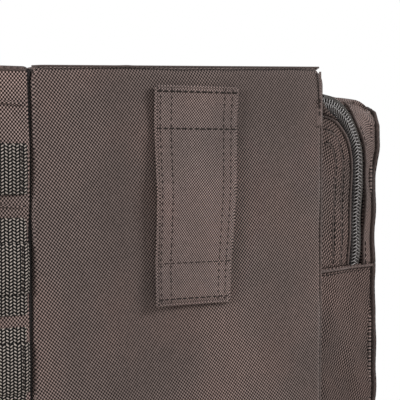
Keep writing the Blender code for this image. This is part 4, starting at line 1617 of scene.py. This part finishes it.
def strap_rings(path, ups, width, thickness, step=5.0):
    """Rings of a padded strap along a path, its long edges thin and its ends round."""
    path, ups = resample(path, step, ups)
    across = unit(np.cross(tangents(path), ups))
    ups = unit(np.cross(across, tangents(path)))
    run = distances(path)
    rings = []
    for i in range(len(path)):
        near = min(run[i], run[-1] - run[i])
        end = math.sqrt(max(0.0, 1 - (1 - min(1.0, near / 14.0)) ** 2)) * 0.75 + 0.25
        w, t = width / 2 * end, thickness / 2 * (0.55 + 0.45 * min(1.0, near / 10.0))
        section = []
        for face, share in ((1, 0.12), (-1, 0.0)):
            for f in np.linspace(-face, face, 15):
                crown = (1 - abs(f) ** 3.2) ** 0.5
                channel = share * math.exp(-((abs(f) - 0.82) / 0.07) ** 2)
                section.append((f * w, face * t * (crown * 0.85 + 0.15 - channel)))
        rings.append([path[i] + across[i] * a + ups[i] * b for a, b in section])
    return np.array(rings)


def bind_edges(trim, path, ups, bound, radius, sewn, lift):
    """Binds both long edges of a padded strap, with a row of stitches inside each."""
    path, ups = resample(path, 4, ups)
    across = unit(np.cross(tangents(path), ups))
    for edge in (-1, 1):
        trim.tube((path + across * edge * bound)[3:-3], radius, "binding")
        trim.stitches((path + across * edge * sewn + ups * lift)[3:-3], ups[3:-3])
    return path, ups, across


YOKE_Y = 131.95


class PACK_OT_back_panel(PackOperator, bpy.types.Operator):
    """The padded back: yoke, two mesh-faced pads and the lumbar pad"""

    bl_idname = "pack.back_panel"
    bl_label = "Back Panel"

    def build(self, context):
        yoke = soft_rings((-117.5, 126.4, 395.5), (117.5, 131.8, 445.5), Y, 8, 2.4, step=9)
        cut = Cut()
        cut.lathe_box(rumple(yoke, 0.35, 22, 2.0), "fabric")
        for inset in (3.5, 7.5):
            ring = hoop(117.5 - inset, 25 - inset, 6, (5, 24), (0, 131.9, 420.5))
            cut.stitches(ring + ring[:1], REAR)
        for x in (-85, 85, -48, 48):
            for dx in (-9, 0, 9):
                cut.stitches(along_z(412, 436, 2, x + dx, YOKE_Y), REAR, size=1.3)
            slant = [(x - 10 + k * 2, YOKE_Y, 412 + k * 2.4) for k in range(11)]
            cut.stitches(slant, REAR, size=1.3)
        cut.piece("harness_yoke_cloth", "bag", "fabric", ("harness_yoke",))
        for side, sign in SIDES:
            low, high = sorted((sign * 15.0, sign * 99.0))
            corners, node = ((low, 126.6, 129.5), (high, 137.5, 383.5)), f"back_pad_{side}"
            rings = soft_rings(*corners, Y, 14, 4.5, (0, 2.4), step=9)
            rings = channelled(rings, Y, 137.0, [(2, z, 2.4) for z in (171, 213, 256, 299, 342)])
            pad(f"back_pad_cushion_{side}", rings, "spacer", "bag", "mesh", node, 2.6)
            trim = Cut()
            centre = sign * 57.0
            ring = hoop(42.6, 127.6, 14, (26, 8), (centre, 127.6, 256.5))
            trim.tube(ring, 1.3, "binding", loop=True, up=REAR)
            trim.piece(f"back_pad_trim_{side}", "bag", "fabric")
        rings = soft_rings((-103.5, 126.8, 27.5), (103.5, 142.4, 110.5), Y, 20, 5, (0, 2.4), step=9)
        rings = channelled(rings, Y, 141.0, [(0, -42, 2.6), (0, 42, 2.6)])
        pad("lumbar_cushion", rings, "spacer", "bag", "mesh", "lumbar_pad", 2.6)
        trim = Cut()
        ring = hoop(104, 42, 19, (8, 20), (0, 127.8, 69))
        trim.tube(ring, 1.5, "binding", loop=True, up=REAR)
        trim.piece("lumbar_trim", "bag", "fabric")
        rings = soft_rings((-130, 74.5, 20), (130, 76.6, 440), Y, 14, 0.8, step=20)
        frame_piece = Cut().lathe_box(rings, "board")
        for x in (-112, 112):
            frame_piece.tube(along_z(30, 430, 20, x, 74.4), 1.1, "board", sides=6)
        frame_piece.piece("frame_board_sheet", "bag", "board", ("frame_sheet",), sharp=40)
        for side, sign in SIDES:
            low, high = sorted((sign * 50.2, sign * 69.8))
            rings = soft_rings((low, 71.2, 26.2), (high, 74.0, 433.8), Y, 8, 0.9, step=8)
            stay = Cut().lathe_box(rings, "stay")
            stay.piece(f"frame_stay_bar_{side}", "bag", "stay", (f"frame_stay_{side}",), sharp=40)


def channelled(rings, axis, level, lines, width=3.4):
    """Presses sewn channels into a pad's outer face: (across axis, place, depth) lines."""
    rings = rings.copy()
    for across, place, depth in lines:
        away = np.abs(rings[..., across] - place)
        press = depth * np.exp(-((away / width) ** 2))
        outer = np.clip((rings[..., axis] - (level - 5)) / 4, 0, 1)
        rings[..., axis] -= press * outer
    return rings


STRAP_X, LOCK_X = 85.0, 96.25


def strap_line(sign):
    """The shoulder strap's middle line and its outward directions."""
    pairs = [(138.5, 399.5)] + arc((163, 424), (24.5, 24.5), 180, 0, 13)
    pairs += [(187.5, z) for z in spread(418, 246, 12)]
    pairs += [(187.3, 232), (186, 215), (182.5, 190), (178.2, 168.5)]
    path, ups = [], []
    for y, z in pairs:
        flare = max(0.0, 240 - z) * 12 / 80 if y > 165 else 0.0
        path.append((sign * (STRAP_X + flare), y, z))
    path = row_of(path)
    along = tangents(path)
    ups = unit(np.cross(along, row_of([(1, 0, 0)])))
    ups *= np.sign((ups * (path - row_of([(sign * STRAP_X, 163, 380)]))).sum(1, keepdims=True))
    return path, ups


class PACK_OT_shoulder_straps(PackOperator, bpy.types.Operator):
    """Padded shoulder straps with their webbing, ladder locks and lower straps"""

    bl_idname = "pack.shoulder_straps"
    bl_label = "Shoulder Straps"

    def build(self, context):
        for side, sign in SIDES:
            path, ups = strap_line(sign)
            rings, node = strap_rings(path, ups, 59.0, 11.6), f"shoulder_strap_{side}"
            pad(f"shoulder_strap_pad_{side}", rings, "fabric", "bag", "fabric", node)
            trim = Cut()
            path, ups, across = bind_edges(trim, path, ups, 28.9, 1.5, 24.0, 3.9)
            keep = (path[:, 2] < 420) & (path[:, 1] > 180)
            front, normals = path[keep] + ups[keep] * 5.6, ups[keep]
            trim.stitches(front + across[keep] * 14.2, normals)
            trim.stitches(front - across[keep] * 14.2, normals)
            trim.piece(f"shoulder_strap_trim_{side}", "bag", "fabric")
            webbing = Cut()
            line = along_z(252, 422, 6, sign * STRAP_X, 194.5)
            webbing.ribbon(line, REAR, 24.8, 1.5, "fine_webbing", crown=0.15)
            for z in np.arange(256, 421, 23.5):
                for dz in (0, 2.2):
                    x = sign * STRAP_X
                    row = along_x(x - 10.5, x + 10.5, 2, 195.45, z + dz)
                    webbing.stitches(row, REAR, size=1.3)
            node = f"strap_webbing_{side}"
            webbing.piece(f"strap_webbing_cloth_{side}", "bag", "webbing", (node,))
            self.lock(side, sign)
            lower = Cut()
            start, end = np.array([sign * LOCK_X, 171.5, 139]), np.array([sign * 134.0, 129, 98])
            line = [start + (end - start) * f for f in np.linspace(0, 1, 14)]
            line = [p - (0, 0, 1.6 * math.sin(math.pi * k / 13)) for k, p in enumerate(line)]
            reach = unit(end - start)
            upward = np.array([sign * 0.35, 0.6, -0.7])
            upward -= reach * np.dot(upward, reach)
            lower.ribbon(line, [upward], 24.6, 1.5, "fine_webbing")
            x, tail = sign * LOCK_X, path[path[:, 2].argmin()]
            for join in (
                [tail + (0, 0, 7), tail, (x, 176.2, 155.5)],
                [(x, 176.0, 149.0), (x, 174.0, 143.5), start],
            ):
                lower.ribbon(resample(join, 2.5), [(0, 1, 0.1)], 24.6, 1.5, "fine_webbing")
            lower.piece(f"lower_strap_webbing_{side}", "bag", "webbing", (f"lower_strap_{side}",))

    def lock(self, side, sign):
        """A ladder lock: an open frame with two bars and a lifted lip."""
        x, y, z = sign * LOCK_X, 175.5, 152.25
        cut = Cut()
        loop = hoop(15.4, 9.4, 3, (4, 6), (x, y, z))
        cut.ribbon(loop, REAR, 3.2, 4.6, "plastic", loop=True)
        for level, depth in ((155.5, 3.4), (149.0, 3.0)):
            line = along_x(x - 14, x + 14, 4, y + 0.6, level)
            cut.ribbon(line, REAR, depth, 3.0, "plastic")
        lip = along_x(x - 13, x + 13, 4, y + 1.6, 143.0)
        cut.ribbon(lip, [(0, 0.9, -0.4)], 4.4, 1.6, "plastic")
        cut.piece(f"ladder_lock_body_{side}", "bag", "plastic", (f"ladder_lock_{side}",), sharp=50)


class PACK_OT_haul_handle(PackOperator, bpy.types.Operator):
    """The webbing haul handle between the straps"""

    bl_idname = "pack.haul_handle"
    bl_label = "Haul Handle"

    def build(self, context):
        bend = arc((0, 427), (34, 16), 200, 340, 15)
        flat = [(-48, 438), (-42, 427), *bend, (42, 427), (48, 438)]
        path = resample([(x, 144.5, z) for x, z in flat], 2.5)
        along = tangents(path)
        up = unit(np.cross(along, row_of(REAR)))
        cut = Cut()
        cut.ribbon(path, up, 20.0, 1.7, "webbing")
        inner = path - up * 1.55
        cut.ribbon(inner[2:-2], up[2:-2], 19.4, 1.3, "webbing")
        grip = slice(len(path) // 2 - 9, len(path) // 2 + 10)
        cut.ribbon(path[grip] + up[grip] * 1.3, up[grip], 19.0, 1.0, "smooth")
        for dy in (-8.2, 8.2):
            line = path + np.array([0, dy, 0]) + up * 0.95
            cut.stitches(line, up)
        cut.piece("haul_handle_webbing", "haul_handle", "webbing", ("haul_handle",))


# ---------------------------------------------------------------- buckles and belts

CHEST_Y, WAIST_Y = 200.4, 206.6


def female(cut, x, y, z, half):
    """A buckle housing open towards +X, with side windows for the prongs."""
    narrow = half * 0.86
    shape = both_edges([
        (-24, -narrow), (-21, -half), (-12, -half), (-9, -narrow), (-4, -narrow), (0, -half)
    ])
    for start, tall in ((1.8, 1.7), (-3.5, 1.7)):
        rings = plate(shape, tall, 0.5)
        cut.lathe_box(set_rings(rings, (x, y + start, z), (1, 0, 0), REAR), "plastic")
    for sign in (-1, 1):
        for near, far, inset, width in ((1.0, 9.0, 1.5, 2.8), (17.5, 23, 1.4, 2.6)):
            rail = [(x - t, y, z + sign * (half - inset)) for t in spread(near, far, 2)]
            cut.ribbon(rail, REAR, width, 3.8, "plastic")
    bars = ((22.4, 0, 0.8, 3, 3.0, 4.2), (14, 3.5, 0.4, 2, 4.0, 0.5))
    for back, lift, reach, step, width, tall in bars:
        bar = [(x - back, y + lift, z + dz) for dz in spread(-half * reach, half * reach, step)]
        cut.ribbon(bar, REAR, width, tall, "plastic")


def male(cut, x, y, z, half):
    """A buckle fork: plate with a webbing slot, middle guide, and two springy prongs."""
    loop = hoop(6.2, half - 2.4, 2, (5, 3), (x + 8.2, y, z))
    cut.ribbon(loop, REAR, 2.8, 5.4, "plastic", loop=True)
    bar = [(x + 9.5, y + 0.3, z + dz) for dz in spread(-half + 3, half - 3, 3)]
    cut.ribbon(bar, REAR, 2.4, 4.0, "plastic")
    bend = ((2.5, 0.85), (-4, 0.78), (-10, 0.8), (-13.5, 0.92), (-15.6, 0.8))
    for prong in (3.8 - half, half - 3.8):
        arm = [(x + dx, y, z + prong * share) for dx, share in bend]
        cut.ribbon(resample(arm, 1.2), REAR, 2.6, 2.5, "plastic")


def buckle(name, y, z, half, fixed, moving):
    """A side-release buckle: its housing on one body and its fork on another."""
    housing, fork = Cut(), Cut()
    female(housing, 0, y, z, half)
    node = f"{name}_buckle_female"
    housing.piece(f"{name}_buckle_housing", fixed, "plastic", (node,), sharp=45)
    male(fork, 0.3, y, z, half)
    node = f"{name}_buckle_male"
    fork.piece(f"{name}_buckle_fork", moving, "plastic", (node,), sharp=45)


class PACK_OT_sternum_strap(PackOperator, bpy.types.Operator):
    """The chest strap: sliding clips, webbing and a side-release buckle"""

    bl_idname = "pack.sternum_strap"
    bl_label = "Sternum Strap"

    def build(self, context):
        z = 350.0
        for side, sign in SIDES:
            cut = Cut()
            x = sign * STRAP_X
            loop = hoop(12.8, 10.6, 3, (5, 6), (x, 197.3, z))
            cut.ribbon(loop, REAR, 3.4, 3.2, "plastic", loop=True)
            cut.ribbon(along_z(z - 10, z + 10, 3, x, 197.2), REAR, 6.0, 2.6, "plastic")
            for dx in (-6.5, 6.5):
                cut.ribbon(along_z(z - 10, z + 10, 3, x + dx, 197.0), REAR, 2.2, 2.2, "plastic")
            name, node = f"sternum_clip_body_{side}", f"sternum_clip_{side}"
            cut.piece(name, "sternum_strap", "plastic", (node,), sharp=50)
        left = Cut()
        left.ribbon(along_x(-99, -24.5, 3, CHEST_Y, z), REAR, 19.6, 1.4, "fine_webbing", crown=0.15)
        for x in (-96, -93.5):
            left.stitches(along_z(z - 8, z + 8, 2, x, 201.3), REAR, size=1.3)
        left.piece("sternum_webbing_fixed", "sternum_strap", "webbing", ("sternum_webbing_left",))
        right = Cut()
        right.ribbon(along_x(16.6, 109, 3, CHEST_Y, z), REAR, 19.6, 1.4, "fine_webbing", crown=0.15)
        right.stitches(along_z(z - 8, z + 8, 2, 104, 201.3), REAR, size=1.3)
        node = "sternum_webbing_right"
        right.piece("sternum_webbing_moving", "sternum_release", "webbing", (node,))
        buckle("sternum", CHEST_Y, z, 12.5, "sternum_strap", "sternum_release")


class PACK_OT_waist_belt(PackOperator, bpy.types.Operator):
    """The waist belt: padded wings, webbing and a side-release buckle"""

    bl_idname = "pack.waist_belt"
    bl_label = "Waist Belt"

    def build(self, context):
        z = 56.0
        for side, sign in SIDES:
            bend = arc((100, 199.3), (47, 47), 270, 360, 18)
            flat = [(74, 149.4), (84, 150.4), (93, 152.1), *bend, (147, 204.5)]
            path = row_of([(sign * x, y, z) for x, y in flat])
            ups = unit(np.cross(tangents(path), row_of(TOP)))
            ups *= np.sign((ups * (path - row_of([(sign * 100, 199.3, z)]))).sum(1, keepdims=True))
            rings, node = strap_rings(path, ups, 47.0, 11.4), f"waist_wing_{side}"
            pad(f"waist_wing_pad_{side}", rings, "fabric", "bag", "fabric", node)
            trim = Cut()
            bind_edges(trim, path, ups, 22.8, 1.4, 18.6, 4.0)
            trim.piece(f"waist_wing_trim_{side}", "bag", "fabric")
        left, right = Cut(), Cut()
        left.ribbon(along_x(-150, -24.5, 4, WAIST_Y, z), REAR, 37.6, 1.8, "webbing", crown=0.15)
        left.piece("waist_webbing_fixed", "bag", "webbing", ("waist_webbing_left",))
        right.ribbon(along_x(16.6, 150, 4, WAIST_Y, z), REAR, 37.6, 1.8, "webbing", crown=0.15)
        for x in (24, 27):
            right.stitches(along_z(z - 16, z + 16, 2, x, 207.7), REAR, size=1.3)
        right.piece("waist_webbing_moving", "waist_release", "webbing", ("waist_webbing_right",))
        buckle("waist", WAIST_Y, z, 22, "bag", "waist_release")


class PACK_OT_modules(PackOperator, bpy.types.Operator):
    """The three colour-coded pouches inside, each with a clear window and a zip"""

    bl_idname = "pack.modules"
    bl_label = "Module Pouches"

    def build(self, context):
        for name, low, high, look in (
            ("lower", 14, 152, "red"),
            ("middle", 156, 294, "blue"),
            ("upper", 298, 440, "green"),
        ):
            rings = soft_rings((-132, 15, low + 2), (132, 70, high - 2), Y, 12, 9, (3.0, 0.5), step=12)
            rings, node = rumple(rings, 1.0, 34, low), f"module_pouch_{name}"
            pad(f"module_pouch_body_{name}", rings, look, "bag", "fabric", node, 2.0)
            middle = (low + high) / 2
            trim = Cut()
            window = soft_rings((-104, 9.6, low + 24), (104, 10.8, high - 34), Y, 8, 0.5, step=16)
            trim.lathe_box(window, "window")
            place = (0, 10.2, (low + high - 10) / 2)
            ring = hoop(105, (high - low - 58) / 2 + 1, 9, (8, 22), place)
            trim.tube(ring, 1.5, "binding", loop=True, up=REAR)
            around = hoop(128.5, (high - low) / 2 - 6.5, 11, (8, 24), (0, 13.8, middle))
            trim.tube(around, 1.3, "binding", loop=True, up=REAR)
            path = along_x(-112, 112, 5, 11.0, high - 21)
            zip_half(trim, path, FRONT, 1, 4.6, 0.7)
            zip_half(trim, path, FRONT, -1, 4.6, 0.7)
            tab = [(96, 9.4, high - 21), (92, 8.2, high - 27), (90, 8.6, high - 38)]
            trim.ribbon(resample(tab, 2), FRONT, 6, 1.2, "plastic")
            trim.piece(f"module_pouch_trim_{name}", "bag", "fabric")


STEPS = (
    PACK_OT_finishes,
    PACK_OT_stage,
    PACK_OT_tub,
    PACK_OT_sleeve,
    PACK_OT_side_webbing,
    PACK_OT_grab_bands,
    PACK_OT_main_zip,
    PACK_OT_front_cover,
    PACK_OT_upper_pocket,
    PACK_OT_lower_pocket,
    PACK_OT_sliders,
    PACK_OT_back_panel,
    PACK_OT_shoulder_straps,
    PACK_OT_haul_handle,
    PACK_OT_sternum_strap,
    PACK_OT_waist_belt,
    PACK_OT_modules,
)
GROUPS = (
    ("pack_fabric", FabricSettings),
    ("pack_stitch", StitchSettings),
    ("pack_zip", ZipSettings),
    ("pack_stage", StageSettings),
)


class PACK_PT_panel(bpy.types.Panel):
    """Lists the settings and the building steps"""

    bl_idname = "PACK_PT_panel"
    bl_label = "Trauma Backpack"
    bl_space_type = "VIEW_3D"
    bl_region_type = "UI"
    bl_category = "Backpack"

    def draw(self, context):
        for name, group in GROUPS:
            box = self.layout.box()
            settings = getattr(context.scene, name)
            for prop in group.__annotations__:
                box.prop(settings, prop)
        for step in STEPS:
            self.layout.operator(step.bl_idname)


def register():
    for name, group in GROUPS:
        bpy.utils.register_class(group)
        setattr(bpy.types.Scene, name, PointerProperty(type=group))
    for cls in (*STEPS, PACK_PT_panel):
        bpy.utils.register_class(cls)


def unregister():
    for cls in (PACK_PT_panel, *reversed(STEPS)):
        bpy.utils.unregister_class(cls)
    for name, group in reversed(GROUPS):
        delattr(bpy.types.Scene, name)
        bpy.utils.unregister_class(group)


def main():
    register()
    for step in STEPS:
        family, name = step.bl_idname.split(".")
        getattr(getattr(bpy.ops, family), name)()


if __name__ == "__main__":
    main()
